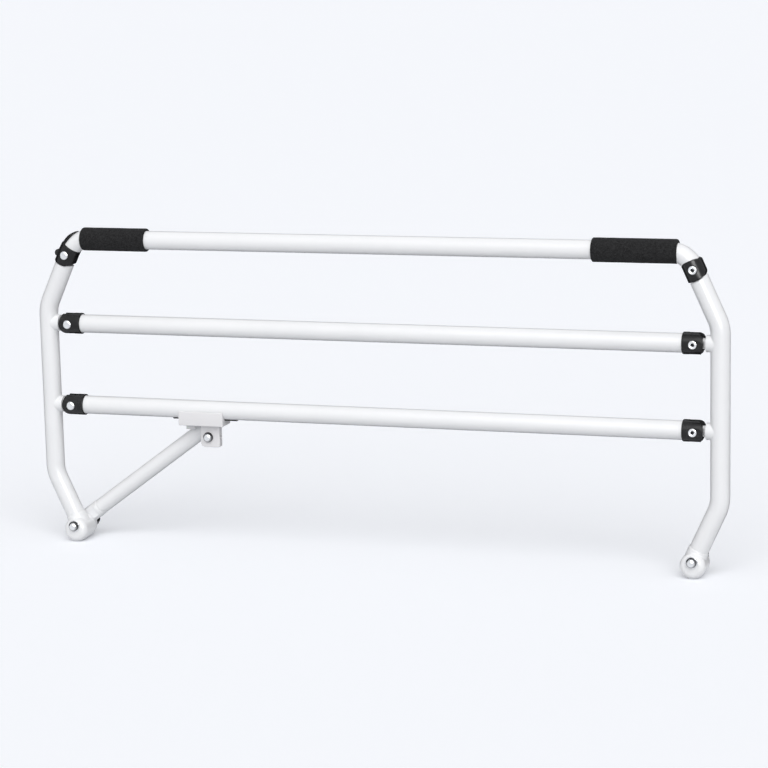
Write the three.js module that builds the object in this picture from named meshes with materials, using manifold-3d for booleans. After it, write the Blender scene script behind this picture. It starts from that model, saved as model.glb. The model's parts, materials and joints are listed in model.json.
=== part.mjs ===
// A folding bed guard rail: three level rails between two bent end posts, pinned so that the frame folds down
// sideways as a parallelogram, with a stay from the left foot to a saddle under the lower rail.
// Millimetres, +Z up. X runs along the rails, Y from the front to the back, and the floor is at Z = 0.
import * as THREE from "three";
import { mergeVertices } from "three/addons/utils/BufferGeometryUtils.js";
import Module from "manifold-3d";

const wasm = await Module();
wasm.setup();

// Frame
const postSpacing = 933; // between the upright axes of the two posts
const pivotInset = 33.2; // from a post's upright axis in to its line of pivots
const footPivotHeight = 23;
const lowRailHeight = 191.5;
const midRailRise = 113.1; // over the lower rail
const topPivotRise = 208.2; // over the lower rail
const elbowRise = 21.6; // of the top rail over its pivots
const slantAngle = 24.5; // degrees from upright, of both bent ends of a post
const postBendRadius = 50;
const elbowLead = 0.6; // straight, from the top pivot to the start of the top rail's bend

// Tubes
const railRadius = 12.5;
const postRadius = 12.7;
const stubRadius = 11;
const stayRadius = 10.8;
const tubeWall = 1.4;
const fitGap = 0.3; // between pieces that touch or slide
const cutOverrun = 5; // how far a cutting solid runs past what it cuts

// Hinge joints of the rails
const sleeveWall = 1.6;
const sleeveEdge = 1.3;
const sleeveReach = 17.6; // from the pivot to the plain end of a straight sleeve
const elbowSleeveReach = 12.8; // the same on the top rail's bent ends
const sleeveWeb = 1.3; // plastic left between the slot and the end of the rail's tube
const postClearance = 1; // between a sleeve's round ears and the end of a post or stub
const tongueHalfThickness = 4.5;
const tongueHalfHeight = 6.4;
const slotClearance = 0.4;
const plugLength = 14;
const rivetShankRadius = 3;
const rivetSeatDepth = 1.2; // of the flat under a rivet's head, into the sleeve
const domeRadius = 6;
const domeHeight = 3;
const eyeletRadius = 5.6;
const eyeletBore = 2.3;
const eyeletRim = 1.3;

// Foam grips
const gripWall = 3;
const gripEdge = 2.6;
const leftGripLap = 9.7; // over the elbow's bend
const leftGripLength = 94.2;
const rightGripLap = 12.2;
const rightGripLength = 111;

// Feet and their bolts
const footRadius = 17;
const footFlat = 0.5; // cut off the round underside, where the foot rests on the floor
const footFront = 20; // in front of the rail plane
const footRear = 17.3; // behind the rail plane
const footEdge = 7;
const collarWall = 1.1;
const collarReach = 15.5; // from the pivot along the post
const socketStart = 5.6;
const boltShankRadius = 3.2;
const boltHeadRadius = 6.9;
const boltHeadHeight = 6.5;
const washerRadius = 8;
const washerThickness = 1.2;
const washerRecess = 0.8;
const nutRadius = 14.2;
const nutThickness = 8;
const nutEdge = 2;
const nutSkin = 1.6;

// Stay: a tube in its own plane behind the rails
const stayAxisOverBolt = 2.5; // of the tube's axis, square to it
const stayAxisOverPin = 14.2;
const stayPinAcross = 198; // from the foot bolt to the saddle's pin, along the rails
const stayEyeThickness = 11.7;
const stayEyeEdge = 2;
const stayCollarWall = 0.6;
const stayCollarLength = 4.6;
const stayPlugLength = 14;
const stayTubeSetback = 10; // from the pin back to the tube's end
const stayCapThickness = 3;
const stayTabThickness = 6;
const stayTabRadius = 8.4;

// Saddle under the lower rail
const pinDrop = 37.6; // of the saddle's pin under the rail's axis
const saddleLeft = 38; // from the pin to the saddle's left end
const saddleRight = 26.2;
const saddleWall = 1.7; // in front of and behind the rail
const saddleTop = 1.2; // under the rail's axis
const saddleBottom = 20.5;
const saddleEdge = 1;
const lugLeft = 11.2; // from the pin
const lugRight = 18.3;
const lugUnderPin = 14;
const lugFront = 2; // in front of the rail plane
const lugRear = 8;
const lugCorner = 6;
const gussetRear = 12.8;
const gussetDrop = 11;
const lugHoleRadius = 2;
const lugHoleDepth = 3.5;
const linerThickness = 1.8;
const linerHalfWidth = 7.6;
const linerLeftOverhang = 11.4;
const linerRightOverhang = 16.2;
const spacerRadius = 5.4;
const pinNutRadius = 6;
const pinNutThickness = 5;

// Sprung button in the saddle
const buttonLeft = 35.6; // from the pin to the button's left side
const buttonLength = 13;
const buttonThickness = 3.4;
const buttonDrop = 7; // under the saddle
const buttonDepth = 4.3; // up into its pocket
const buttonSpringHeight = 2.6;
const buttonSpringRadius = 1.4;
const pocketFront = 8.4;

// Release lever on the left elbow
const leverHubRadius = 4.9;
const leverHubOffset = 11.9; // from the elbow's axis, outwards
const leverHubBack = 2.1; // from the pivot, towards the post
const leverPinRadius = 1.7;
const leverPinReach = 7.2; // to each side of the rail plane
const leverThickness = 1.7;
const leverTipGap = 2.7; // to the grip, along the rail
const leverWebHalfWidth = 4.3;
const leverHalfWidth = 10.3;
const leverTipHalfWidth = 2.4;
const leverTipThickness = 0.9;
const leverSpringWall = 1.8;
const leverSpringWidth = 2.6;

// Facets
const tubeSides = 20;
const boreSides = 12;
const pinSides = 12;
const hexSides = 6;
const bendStep = 8.2; // degrees of bend in one step
const rimSteps = 1;
const arcSteps = 2;
const domeSteps = 3;
const shellSteps = 6;
const weldTolerance = 1e-4;

// Worked out from the sizes above
const leftSide = -1;
const rightSide = 1;
const slant = THREE.MathUtils.degToRad(slantAngle);
const pivotX = postSpacing / 2 - pivotInset;
const midRailHeight = lowRailHeight + midRailRise;
const topPivotHeight = lowRailHeight + topPivotRise;
const topRailHeight = topPivotHeight + elbowRise;
const elbowTurn = Math.PI / 2 - slant;
const elbowRadius = (elbowRise / Math.cos(slant) - elbowLead) / Math.tan(elbowTurn / 2);
const elbowCornerX = pivotX - elbowRise * Math.tan(slant);
const elbowEndX = elbowCornerX - elbowRadius * Math.tan(elbowTurn / 2);
const sleeveRadius = railRadius + fitGap + sleeveWall;
const slotHalfWidth = tongueHalfThickness + slotClearance;
const slotDepth = tongueHalfHeight + slotClearance;
const railEndSetback = slotDepth + sleeveWeb + fitGap;
const postEndSetback = sleeveRadius + postClearance;
const rivetSeat = sleeveRadius - rivetSeatDepth;
const gripRadius = railRadius + fitGap + gripWall;
const collarRadius = postRadius + fitGap + collarWall;
const footBossHeight = footRadius - footFlat;
const footSweep = footRadius + footPivotHeight - footBossHeight;
const washerFront = washerRecess - footFront - fitGap - washerThickness;
const saddleHalfDepth = railRadius + fitGap + saddleWall;
const stayFront = saddleHalfDepth + fitGap;
const stayPlane = stayFront + stayRadius;
const stayEyeFront = footRear + fitGap;
const stayEyeRear = stayEyeFront + stayEyeThickness;
const stayTabRear = stayFront + stayTabThickness;
const linerRadius = railRadius + fitGap + linerThickness;
const frontReach = boltHeadHeight + fitGap - washerFront;
const rearReach = stayEyeRear + fitGap + nutThickness;

// Materials
const whitePaint = { color: 0xf1f2f4, roughness: 0.32, metalness: 0 };
const blackPlastic = { color: 0x1c1d1f, roughness: 0.42, metalness: 0 };
const blackFoam = { color: 0x232426, roughness: 0.92, metalness: 0 };
const chrome = { color: 0xd9dbde, roughness: 0.12, metalness: 1 };
const plainSteel = { color: 0x9a9da1, roughness: 0.4, metalness: 1 };

// A flat point in the plane of the rails
function at(x, z) {
  return new THREE.Vector2(x, z);
}

// A closed three.js geometry as a solid
function solid(geometry) {
  const bare = new THREE.BufferGeometry();
  bare.setAttribute("position", geometry.getAttribute("position"));
  bare.setIndex(geometry.index);
  const merged = mergeVertices(bare, weldTolerance);
  const corners = merged.index.array;
  const kept = [];
  for (let i = 0; i < corners.length; i += 3) {
    const [a, b, c] = corners.slice(i, i + 3);
    if (a !== b && b !== c && c !== a) kept.push(a, b, c);
  }
  return new wasm.Manifold(
    new wasm.Mesh({
      numProp: 3,
      vertProperties: merged.getAttribute("position").array,
      triVerts: new Uint32Array(kept),
    }),
  );
}

// A path is a list of flat points; across lies in the plane of the rails and up runs along Y
function frames(path, plane = 0) {
  return path.map((point, i) => {
    const into = point.clone().sub(path[Math.max(i - 1, 0)]).normalize();
    const out = path[Math.min(i + 1, path.length - 1)].clone().sub(point).normalize();
    const along = into.add(out).normalize();
    return {
      origin: new THREE.Vector3(point.x, plane, point.y),
      along: new THREE.Vector3(along.x, 0, along.y),
      across: new THREE.Vector3(along.y, 0, -along.x),
      up: new THREE.Vector3(0, 1, 0),
    };
  });
}

// A curve that gives an extrusion one step for each point of a path
class StepCurve extends THREE.Curve {
  constructor(path, plane) {
    super();
    this.frames = frames(path, plane);
  }

  frameAt(share) {
    return this.frames[Math.round(share * (this.frames.length - 1))];
  }

  getPointAt(share) {
    return this.frameAt(share).origin.clone();
  }

  getTangentAt(share) {
    return this.frameAt(share).along.clone();
  }
}

function extrudeAlong(path, section, plane) {
  return solid(
    new THREE.ExtrudeGeometry(section, {
      steps: path.length - 1,
      bevelEnabled: false,
      extrudePath: new StepCurve(path, plane),
    }),
  );
}

function circle(radius, sides) {
  const outline = [];
  for (let i = 0; i < sides; i++) {
    const turn = (2 * Math.PI * i) / sides;
    outline.push(at(radius * Math.cos(turn), radius * Math.sin(turn)));
  }
  return outline;
}

function roundBar(path, radius, plane = 0, sides = tubeSides) {
  return extrudeAlong(path, new THREE.Shape(circle(radius, sides)), plane);
}

// A hollow tube along part of a path, open at both ends
function tube(path, from, to, radius, plane = 0) {
  const section = new THREE.Shape(circle(radius, tubeSides));
  section.holes.push(new THREE.Path(circle(radius - tubeWall, boreSides)));
  return extrudeAlong(stretchOf(path, from, to), section, plane);
}

// Joins outlines of as many points each, standing one behind the other, into a closed solid
function loft(sections) {
  const count = sections[0].outline.length;
  const last = (sections.length - 1) * count;
  const positions = [];
  for (const { origin, across, up, outline } of sections) {
    for (const point of outline) {
      const corner = origin.clone().addScaledVector(across, point.x).addScaledVector(up, point.y);
      positions.push(corner.x, corner.y, corner.z);
    }
  }
  const index = [];
  for (let i = 0; i < last; i += count) {
    for (let j = 0; j < count; j++) {
      const a = i + j;
      const b = i + ((j + 1) % count);
      index.push(a, b, b + count, a, b + count, a + count);
    }
  }
  for (const [a, b, c] of THREE.ShapeUtils.triangulateShape(sections[0].outline, [])) {
    index.push(a, c, b, last + a, last + b, last + c);
  }
  const geometry = new THREE.BufferGeometry();
  geometry.setAttribute("position", new THREE.Float32BufferAttribute(positions, 3));
  geometry.setIndex(index);
  return solid(geometry);
}

// The corners of a path with each inner corner rounded to a bend
function bent(corners, bendRadius) {
  const path = [corners[0].clone()];
  for (let i = 1; i + 1 < corners.length; i++) {
    const into = corners[i].clone().sub(corners[i - 1]).normalize();
    const out = corners[i + 1].clone().sub(corners[i]).normalize();
    const turn = Math.atan2(into.x * out.y - into.y * out.x, into.dot(out));
    const reach = bendRadius * Math.tan(Math.abs(turn) / 2);
    const start = corners[i].clone().addScaledVector(into, -reach);
    const centre = start.clone().addScaledVector(at(-into.y, into.x), Math.sign(turn) * bendRadius);
    const steps = Math.ceil(THREE.MathUtils.radToDeg(Math.abs(turn)) / bendStep);
    for (let k = 0; k <= steps; k++) path.push(start.clone().rotateAround(centre, (turn * k) / steps));
  }
  path.push(corners.at(-1).clone());
  return path;
}

// The point at a distance along a path; past its ends the path runs on straight
function pointAt(path, distance) {
  let i = 0;
  let left = distance;
  while (i + 2 < path.length && left > path[i].distanceTo(path[i + 1])) {
    left -= path[i].distanceTo(path[i + 1]);
    i += 1;
  }
  return path[i].clone().lerp(path[i + 1], left / path[i].distanceTo(path[i + 1]));
}

function stretchOf(path, from, to) {
  const between = [];
  let travelled = 0;
  for (let i = 1; i + 1 < path.length; i++) {
    travelled += path[i].distanceTo(path[i - 1]);
    if (travelled > from && travelled < to) between.push(path[i].clone());
  }
  return [pointAt(path, from), ...between, pointAt(path, to)];
}

function lengthOf(path) {
  return path.slice(1).reduce((sum, point, i) => sum + point.distanceTo(path[i]), 0);
}

function directionOf(path) {
  return path[1].clone().sub(path[0]).normalize();
}

// A round bar with rounded rims along part of a path
function rimmedBar(path, from, to, radius, rim) {
  const starts = [];
  const ends = [];
  for (let k = 0; k <= rimSteps; k++) {
    const turn = (Math.PI / 2) * (k / rimSteps);
    const inset = rim * (1 - Math.cos(turn));
    const rimRadius = radius - rim * (1 - Math.sin(turn));
    starts.push({ point: pointAt(path, from + inset), radius: rimRadius });
    ends.unshift({ point: pointAt(path, to - inset), radius: rimRadius });
  }
  const between = stretchOf(path, from + rim, to - rim).slice(1, -1).map((point) => ({ point, radius }));
  const stations = [...starts, ...between, ...ends];
  const places = frames(stations.map((station) => station.point));
  return loft(places.map((place, i) => ({ ...place, outline: circle(stations[i].radius, tubeSides) })));
}

// A solid of revolution about a line along Y, from a profile of [radius, y]
function turned(centre, profile, sides = pinSides) {
  const geometry = new THREE.LatheGeometry(profile.map(([radius, y]) => at(radius, y)), sides);
  return solid(geometry.translate(centre.x, 0, centre.y));
}

function pin(centre, radius, front, rear, sides = pinSides) {
  return turned(centre, [[0, front], [radius, front], [radius, rear], [0, rear]], sides);
}

// Quarter and half rounds of a profile, turning from one angle to another
function arc(radius, y, rim, startTurn, endTurn) {
  const points = [];
  for (let k = 0; k <= arcSteps; k++) {
    const turn = THREE.MathUtils.lerp(startTurn, endTurn, k / arcSteps);
    points.push([radius + rim * Math.cos(turn), y + rim * Math.sin(turn)]);
  }
  return points;
}

// A round boss along Y with rounded rims
function boss(centre, radius, front, rear, rim) {
  const frontRim = arc(radius - rim, front + rim, rim, -Math.PI / 2, 0);
  const rearRim = arc(radius - rim, rear - rim, rim, 0, Math.PI / 2);
  return turned(centre, [[0, front], ...frontRim, ...rearRim, [0, rear]], tubeSides);
}

// A domed head's profile, from its tip on the axis at the front back to its rim
function dome(radius, height, base) {
  const points = [];
  for (let k = 0; k <= domeSteps; k++) {
    const turn = (Math.PI / 2) * (k / domeSteps);
    points.push([radius * Math.sin(turn), base - height * Math.cos(turn)]);
  }
  return points;
}

function mirrored(profile) {
  return profile.map(([radius, y]) => [radius, -y]).reverse();
}

// A block whose face in the rail plane runs from a point along a direction
function block(start, along, [from, to], [low, high], [front, rear]) {
  const geometry = new THREE.BoxGeometry(to - from, rear - front, high - low);
  geometry.translate((from + to) / 2, (front + rear) / 2, (low + high) / 2);
  geometry.rotateY(-Math.atan2(along.y, along.x));
  return solid(geometry.translate(start.x, 0, start.y));
}

// An outline in the plane of the rails, as thick as from front to rear
function plate(shape, front, rear) {
  const geometry = new THREE.ExtrudeGeometry(shape, {
    depth: rear - front,
    bevelEnabled: false,
    curveSegments: pinSides / 2,
  });
  geometry.rotateX(Math.PI / 2);
  return solid(geometry.translate(0, rear, 0));
}

function footPivot(side) {
  return at(side * pivotX, footPivotHeight);
}

function topPivot(side) {
  return at(side * pivotX, topPivotHeight);
}

// Centre line of a post, from its foot pivot up to its top pivot
function postPath(side) {
  const run = pivotInset / Math.tan(slant);
  const upright = (side * postSpacing) / 2;
  const lowCorner = at(upright, footPivotHeight + run);
  const highCorner = at(upright, topPivotHeight - run);
  return bent([footPivot(side), lowCorner, highCorner, topPivot(side)], postBendRadius);
}

// Centre line of the top rail, from the pivot on one side to the other
function topRailPath(side) {
  const nearCorner = at(side * elbowCornerX, topRailHeight);
  const farCorner = at(-side * elbowCornerX, topRailHeight);
  return bent([topPivot(side), nearCorner, farCorner, topPivot(-side)], elbowRadius);
}

function levelPath(side, height) {
  return [at(side * pivotX, height), at(-side * pivotX, height)];
}

// Plastic sleeve: closed round a rail's end, slotted into two ears round the pivot
function sleeve(path, reach) {
  const pivot = path[0];
  const along = directionOf(path);
  const width = sleeveRadius + cutOverrun;
  const across = [-width, width];
  const round = pin(pivot, sleeveRadius, -width, width, tubeSides);
  const beside = block(pivot, along, [0, reach + cutOverrun], across, across);
  const seatRadius = Math.max(domeRadius, eyeletRadius) + fitGap;
  return rimmedBar(path, -sleeveRadius, reach, sleeveRadius, sleeveEdge)
    .intersect(beside.add(round))
    .subtract(roundBar(stretchOf(path, railEndSetback - fitGap, reach + cutOverrun), railRadius + fitGap))
    .subtract(block(pivot, along, [-width, slotDepth], across, [-slotHalfWidth, slotHalfWidth]))
    .subtract(pin(pivot, rivetShankRadius + fitGap, -width, width))
    .subtract(pin(pivot, seatRadius, -width, -rivetSeat))
    .subtract(pin(pivot, seatRadius, rivetSeat, width));
}

// Painted steel tongue: plugs into the end of a post or stub and turns between a sleeve's ears
function tongue(pivot, along, outerRadius) {
  const path = [pivot, pivot.clone().add(along)];
  const plugPath = stretchOf(path, postEndSetback + fitGap, postEndSetback + plugLength);
  const plug = roundBar(plugPath, outerRadius - tubeWall - fitGap, 0, boreSides);
  const thickness = [-tongueHalfThickness, tongueHalfThickness];
  const height = [-tongueHalfHeight, tongueHalfHeight];
  return plug
    .add(block(pivot, along, [0, postEndSetback + plugLength / 2], height, thickness))
    .add(pin(pivot, tongueHalfHeight, ...thickness))
    .subtract(pin(pivot, rivetShankRadius + fitGap, -sleeveRadius, sleeveRadius));
}

// Solid rivet with a domed head at each end
function domeRivet(pivot) {
  const seat = rivetSeat + fitGap;
  const front = [...dome(domeRadius, domeHeight, -seat), [rivetShankRadius, -seat]];
  return turned(pivot, [...front, ...mirrored(front)]);
}

// Hollow rivet with a rolled flange at each end
function eyeletRivet(pivot) {
  const seat = rivetSeat + fitGap;
  const flange = arc(eyeletRadius - eyeletRim, seat + eyeletRim, eyeletRim, -Math.PI / 2, Math.PI / 2);
  const rear = [[rivetShankRadius, seat], ...flange, [eyeletBore, seat + 2 * eyeletRim]];
  const front = mirrored(rear);
  return turned(pivot, [...front, ...rear, front[0]]);
}

// Room for a post's upright tube, round which a stub is welded on
function uprightRoom(side, height) {
  const upright = (side * postSpacing) / 2;
  const half = stubRadius + cutOverrun;
  return roundBar([at(upright, height - half), at(upright, height + half)], postRadius + fitGap);
}

// Short tube on a post, its end notched to the post's round side
function stub(side, height) {
  const pivot = at(side * pivotX, height);
  const path = [pivot, at(side * (pivotX + pivotInset), height)];
  return tube(path, postEndSetback, pivotInset - tubeWall, stubRadius).subtract(uprightRoom(side, height));
}

function stubTongue(side, height) {
  return tongue(at(side * pivotX, height), at(side, 0), stubRadius).subtract(uprightRoom(side, height));
}

function postTongue(side) {
  return tongue(topPivot(side), directionOf([...postPath(side)].reverse()), postRadius);
}

function post(side) {
  const path = postPath(side);
  return tube(path, socketStart + fitGap, lengthOf(path) - postEndSetback, postRadius);
}

function levelRail(height) {
  const path = levelPath(leftSide, height);
  return tube(path, railEndSetback, lengthOf(path) - railEndSetback, railRadius);
}

function topRail() {
  const path = topRailPath(leftSide);
  return tube(path, railEndSetback, lengthOf(path) - railEndSetback, railRadius);
}

function grip(side, lap, length) {
  const start = at(side * (elbowEndX + lap), topRailHeight);
  const path = [start, start.clone().add(at(-side * length, 0))];
  const bore = roundBar(topRailPath(side), railRadius + fitGap);
  return rimmedBar(path, 0, length, gripRadius, gripEdge).subtract(bore);
}

// All that lies under the floor
function floorCut() {
  return block(at(0, 0), at(1, 0), [-postSpacing, postSpacing], [-footRadius, 0], [-postSpacing, postSpacing]);
}

// Round boss under a foot bolt, flat where it rests on the floor
function floorBoss(side, front, rear, rim) {
  return boss(at(side * pivotX, footBossHeight), footRadius, front, rear, rim).subtract(floorCut());
}

// Cast foot: a boss across the bolt, with a collar for the post's lower end
function foot(side) {
  const path = postPath(side);
  const front = -footFront - cutOverrun;
  return floorBoss(side, -footFront, footRear, footEdge)
    .add(roundBar(stretchOf(path, 0, collarReach), collarRadius))
    .subtract(roundBar(stretchOf(path, socketStart, collarReach + cutOverrun), postRadius + fitGap))
    .subtract(pin(footPivot(side), boltShankRadius + fitGap, front, footRear + cutOverrun))
    .subtract(pin(footPivot(side), washerRadius + fitGap, front, washerRecess - footFront));
}

function footWasher(side) {
  const rear = washerFront + washerThickness;
  return pin(footPivot(side), washerRadius, washerFront, rear).subtract(
    pin(footPivot(side), boltShankRadius + fitGap, washerFront - cutOverrun, rear + cutOverrun),
  );
}

// Dome-headed bolt along Y
function domeBolt(centre, headFace, shankEnd) {
  const head = dome(boltHeadRadius, boltHeadHeight, headFace);
  return turned(centre, [...head, [boltShankRadius, headFace], [boltShankRadius, shankEnd], [0, shankEnd]]);
}

function footBolt(side, nutSeat) {
  return domeBolt(footPivot(side), washerFront - fitGap, nutSeat + nutThickness - nutSkin);
}

// Round plastic cap nut, closed at the back
function footNut(side, nutSeat) {
  const front = nutSeat + fitGap;
  const rear = front + nutThickness;
  return boss(footPivot(side), nutRadius, front, rear, nutEdge).subtract(
    pin(footPivot(side), boltShankRadius + fitGap, front - cutOverrun, rear - nutSkin),
  );
}

// The stay's tube runs square distances over the foot bolt and over the saddle's pin
const stayBolt = footPivot(leftSide);
const stayPin = at(stayBolt.x + stayPinAcross, lowRailHeight - pinDrop);
const stayReach = stayPin.distanceTo(stayBolt);
const stayTurn =
  stayPin.clone().sub(stayBolt).angle() + Math.asin((stayAxisOverPin - stayAxisOverBolt) / stayReach);
const stayAlong = at(Math.cos(stayTurn), Math.sin(stayTurn));
const stayNormal = at(-Math.sin(stayTurn), Math.cos(stayTurn));
const stayPinDistance = stayPin.clone().sub(stayBolt).dot(stayAlong);
const stayTubeEnd = stayPinDistance - stayTubeSetback;
const stayCollarEnd = footSweep + fitGap + stayCollarLength;

// The point at a distance along the stay and over its axis
function onStay(distance, over) {
  return stayBolt
    .clone()
    .addScaledVector(stayAlong, distance)
    .addScaledVector(stayNormal, stayAxisOverBolt + over);
}

function stayBar(from, to, radius, sides = tubeSides) {
  return roundBar([onStay(from, 0), onStay(to, 0)], radius, stayPlane, sides);
}

function stayTube() {
  const from = stayCollarEnd + fitGap;
  return tube([onStay(from, 0), onStay(stayTubeEnd, 0)], 0, stayTubeEnd - from, stayRadius, stayPlane);
}

// Lower end of the stay: an eye on the foot bolt, a neck behind the foot, and a collar and plug for the tube
function stayFootFitting() {
  const plugRadius = stayRadius - tubeWall - fitGap;
  const rear = stayPlane + stayRadius + cutOverrun;
  return stayBar(0, stayCollarEnd, stayRadius + stayCollarWall)
    .subtract(pin(stayBolt, nutRadius + 2 * fitGap, stayEyeRear, rear, tubeSides))
    .subtract(pin(stayBolt, footSweep + fitGap, 0, stayEyeFront, tubeSides))
    .add(floorBoss(leftSide, stayEyeFront, stayEyeRear, stayEyeEdge))
    .add(stayBar(stayCollarEnd - stayCollarLength, stayCollarEnd + stayPlugLength, plugRadius, boreSides))
    .subtract(pin(stayBolt, boltShankRadius + fitGap, 0, rear))
    .subtract(floorCut());
}

// Upper end of the stay: a plug and cap in the tube, and a flat tab that drops to the saddle's pin
function stayTopFitting() {
  const capStart = stayTubeEnd + fitGap;
  const capEnd = capStart + stayCapThickness;
  const plugRadius = stayRadius - tubeWall - fitGap;
  const outline = new THREE.Shape();
  outline.moveTo(...onStay(capStart, plugRadius));
  outline.lineTo(...onStay(capStart, -stayRadius));
  outline.absarc(stayPin.x, stayPin.y, stayTabRadius, stayTurn + Math.PI, stayTurn + 2 * Math.PI, false);
  outline.lineTo(...onStay(stayPinDistance + stayTabRadius, -stayRadius));
  outline.lineTo(...onStay(capEnd, plugRadius));
  outline.closePath();
  return stayBar(stayTubeEnd - stayPlugLength, capEnd, plugRadius, boreSides)
    .add(stayBar(capStart, capEnd, stayRadius))
    .add(plate(outline, stayFront, stayTabRear))
    .subtract(pin(stayPin, boltShankRadius + fitGap, 0, stayTabRear + cutOverrun));
}

// The button's pocket, open under the saddle, with room for the spring
function buttonPocket() {
  const floor = lowRailHeight - saddleBottom;
  const ceiling = floor + buttonDepth + buttonSpringHeight + 2 * fitGap;
  const length = [-fitGap, buttonLength + fitGap];
  const depth = [pocketFront, pocketFront + buttonThickness + 2 * fitGap];
  return block(at(stayPin.x - buttonLeft, 0), at(1, 0), length, [floor - cutOverrun, ceiling], depth);
}

// Cast saddle: a trough that carries the lower rail, over the lug for the stay's pin
function saddle() {
  const left = stayPin.x - saddleLeft;
  const right = stayPin.x + saddleRight;
  const top = lowRailHeight - saddleTop;
  const bottom = lowRailHeight - saddleBottom;
  const side = new THREE.Shape();
  side.moveTo(left, top);
  side.lineTo(left, bottom + saddleEdge);
  side.lineTo(left + saddleEdge, bottom);
  side.lineTo(right - saddleEdge, bottom);
  side.lineTo(right, bottom + saddleEdge);
  side.lineTo(right, top);
  side.closePath();
  const ends = [at(left - cutOverrun, lowRailHeight), at(right + cutOverrun, lowRailHeight)];
  const width = [-linerHalfWidth - fitGap, linerHalfWidth + fitGap];
  const linerRoom = roundBar(ends, linerRadius + fitGap).intersect(
    block(ends[0], at(1, 0), [0, lengthOf(ends)], [-saddleBottom, 0], width),
  );
  return plate(side, -saddleHalfDepth, saddleHalfDepth)
    .add(lug())
    .subtract(roundBar(ends, railRadius + fitGap))
    .subtract(linerRoom)
    .subtract(buttonPocket())
    .subtract(pin(stayPin, boltShankRadius + fitGap, -saddleHalfDepth, saddleHalfDepth));
}

// Lug under the saddle, stiffened by a gusset at its back
function lug() {
  const left = stayPin.x - lugLeft;
  const right = stayPin.x + lugRight;
  const bottom = stayPin.y - lugUnderPin;
  const top = lowRailHeight - saddleBottom;
  const smallCorner = lugCorner / 2;
  const face = new THREE.Shape();
  face.moveTo(left, top + saddleEdge);
  face.lineTo(left, bottom + lugCorner);
  face.absarc(left + lugCorner, bottom + lugCorner, lugCorner, Math.PI, 1.5 * Math.PI, false);
  face.absarc(right - smallCorner, bottom + smallCorner, smallCorner, 1.5 * Math.PI, 2 * Math.PI, false);
  face.lineTo(right, top + saddleEdge);
  face.closePath();
  const wedge = [at(0, -gussetDrop), at(gussetRear - lugRear + fitGap, saddleEdge), at(0, saddleEdge)];
  const gusset = loft(
    [left, right].map((x) => ({
      origin: new THREE.Vector3(x, lugRear - fitGap, top),
      across: new THREE.Vector3(0, 1, 0),
      up: new THREE.Vector3(0, 0, 1),
      outline: wedge,
    })),
  );
  const holeEnds = [at(right - lugHoleDepth, stayPin.y), at(right + cutOverrun, stayPin.y)];
  const hole = roundBar(holeEnds, lugHoleRadius, (lugRear - lugFront) / 2, pinSides);
  return plate(face, -lugFront, lugRear).add(gusset).subtract(hole);
}

// Wear strip between the trough and the rail
function saddleLiner() {
  const left = at(stayPin.x - saddleLeft - linerLeftOverhang, lowRailHeight);
  const right = at(stayPin.x + saddleRight + linerRightOverhang, lowRailHeight);
  const length = right.x - left.x;
  const strip = block(left, at(1, 0), [0, length], [-saddleBottom, 0], [-linerHalfWidth, linerHalfWidth]);
  const room = stretchOf([left, right], -cutOverrun, length + cutOverrun);
  return roundBar([left, right], linerRadius).intersect(strip).subtract(roundBar(room, railRadius + fitGap));
}

function latchButton() {
  const left = stayPin.x - buttonLeft;
  const right = left + buttonLength;
  const saddleUnderside = lowRailHeight - saddleBottom;
  const top = saddleUnderside + buttonDepth;
  const bottom = saddleUnderside - buttonDrop;
  const side = new THREE.Shape();
  side.moveTo(left, top);
  side.lineTo(left, bottom + saddleEdge);
  side.lineTo(left + saddleEdge, bottom);
  side.lineTo(right - saddleEdge, bottom);
  side.lineTo(right, bottom + saddleEdge);
  side.lineTo(right, top);
  side.closePath();
  const front = pocketFront + fitGap;
  return plate(side, front, front + buttonThickness);
}

// Return spring, upright in the pocket over the button
function latchSpring() {
  const low = lowRailHeight - saddleBottom + buttonDepth + fitGap;
  const sides = pinSides / 2;
  const geometry = new THREE.CylinderGeometry(buttonSpringRadius, buttonSpringRadius, buttonSpringHeight, sides);
  geometry.rotateX(Math.PI / 2);
  const x = stayPin.x - buttonLeft + buttonLength / 2;
  const y = pocketFront + fitGap + buttonThickness / 2;
  return solid(geometry.translate(x, y, low + buttonSpringHeight / 2));
}

function pinSpacer() {
  return pin(stayPin, spacerRadius, lugRear + fitGap, stayFront - fitGap).subtract(
    pin(stayPin, boltShankRadius + fitGap, 0, stayFront + cutOverrun),
  );
}

function pinBolt() {
  return domeBolt(stayPin, -lugFront - fitGap, stayTabRear + fitGap + pinNutThickness);
}

function pinNut() {
  const front = stayTabRear + fitGap;
  const rear = front + pinNutThickness;
  return pin(stayPin, pinNutRadius, front, rear, hexSides).subtract(
    pin(stayPin, boltShankRadius + fitGap, front - cutOverrun, rear + cutOverrun),
  );
}

// The left elbow runs up and inwards from its pivot; the lever hinges on its outer side
const elbowPath = topRailPath(leftSide);
const elbowAlong = directionOf(elbowPath);
const elbowOutward = at(-elbowAlong.y, elbowAlong.x);
const leverHub = topPivot(leftSide)
  .addScaledVector(elbowOutward, leverHubOffset)
  .addScaledVector(elbowAlong, -leverHubBack);

// A thin arc round the elbow's outer side
function shellOutline(thickness, halfWidth) {
  const inner = railRadius + fitGap;
  const outer = inner + thickness;
  const half = Math.asin(halfWidth / outer);
  const outside = [];
  const inside = [];
  for (let k = 0; k <= shellSteps; k++) {
    const turn = Math.PI + THREE.MathUtils.lerp(-half, half, k / shellSteps);
    outside.push(at(outer * Math.cos(turn), outer * Math.sin(turn)));
    inside.unshift(at(inner * Math.cos(turn), inner * Math.sin(turn)));
  }
  return [...outside, ...inside];
}

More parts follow.
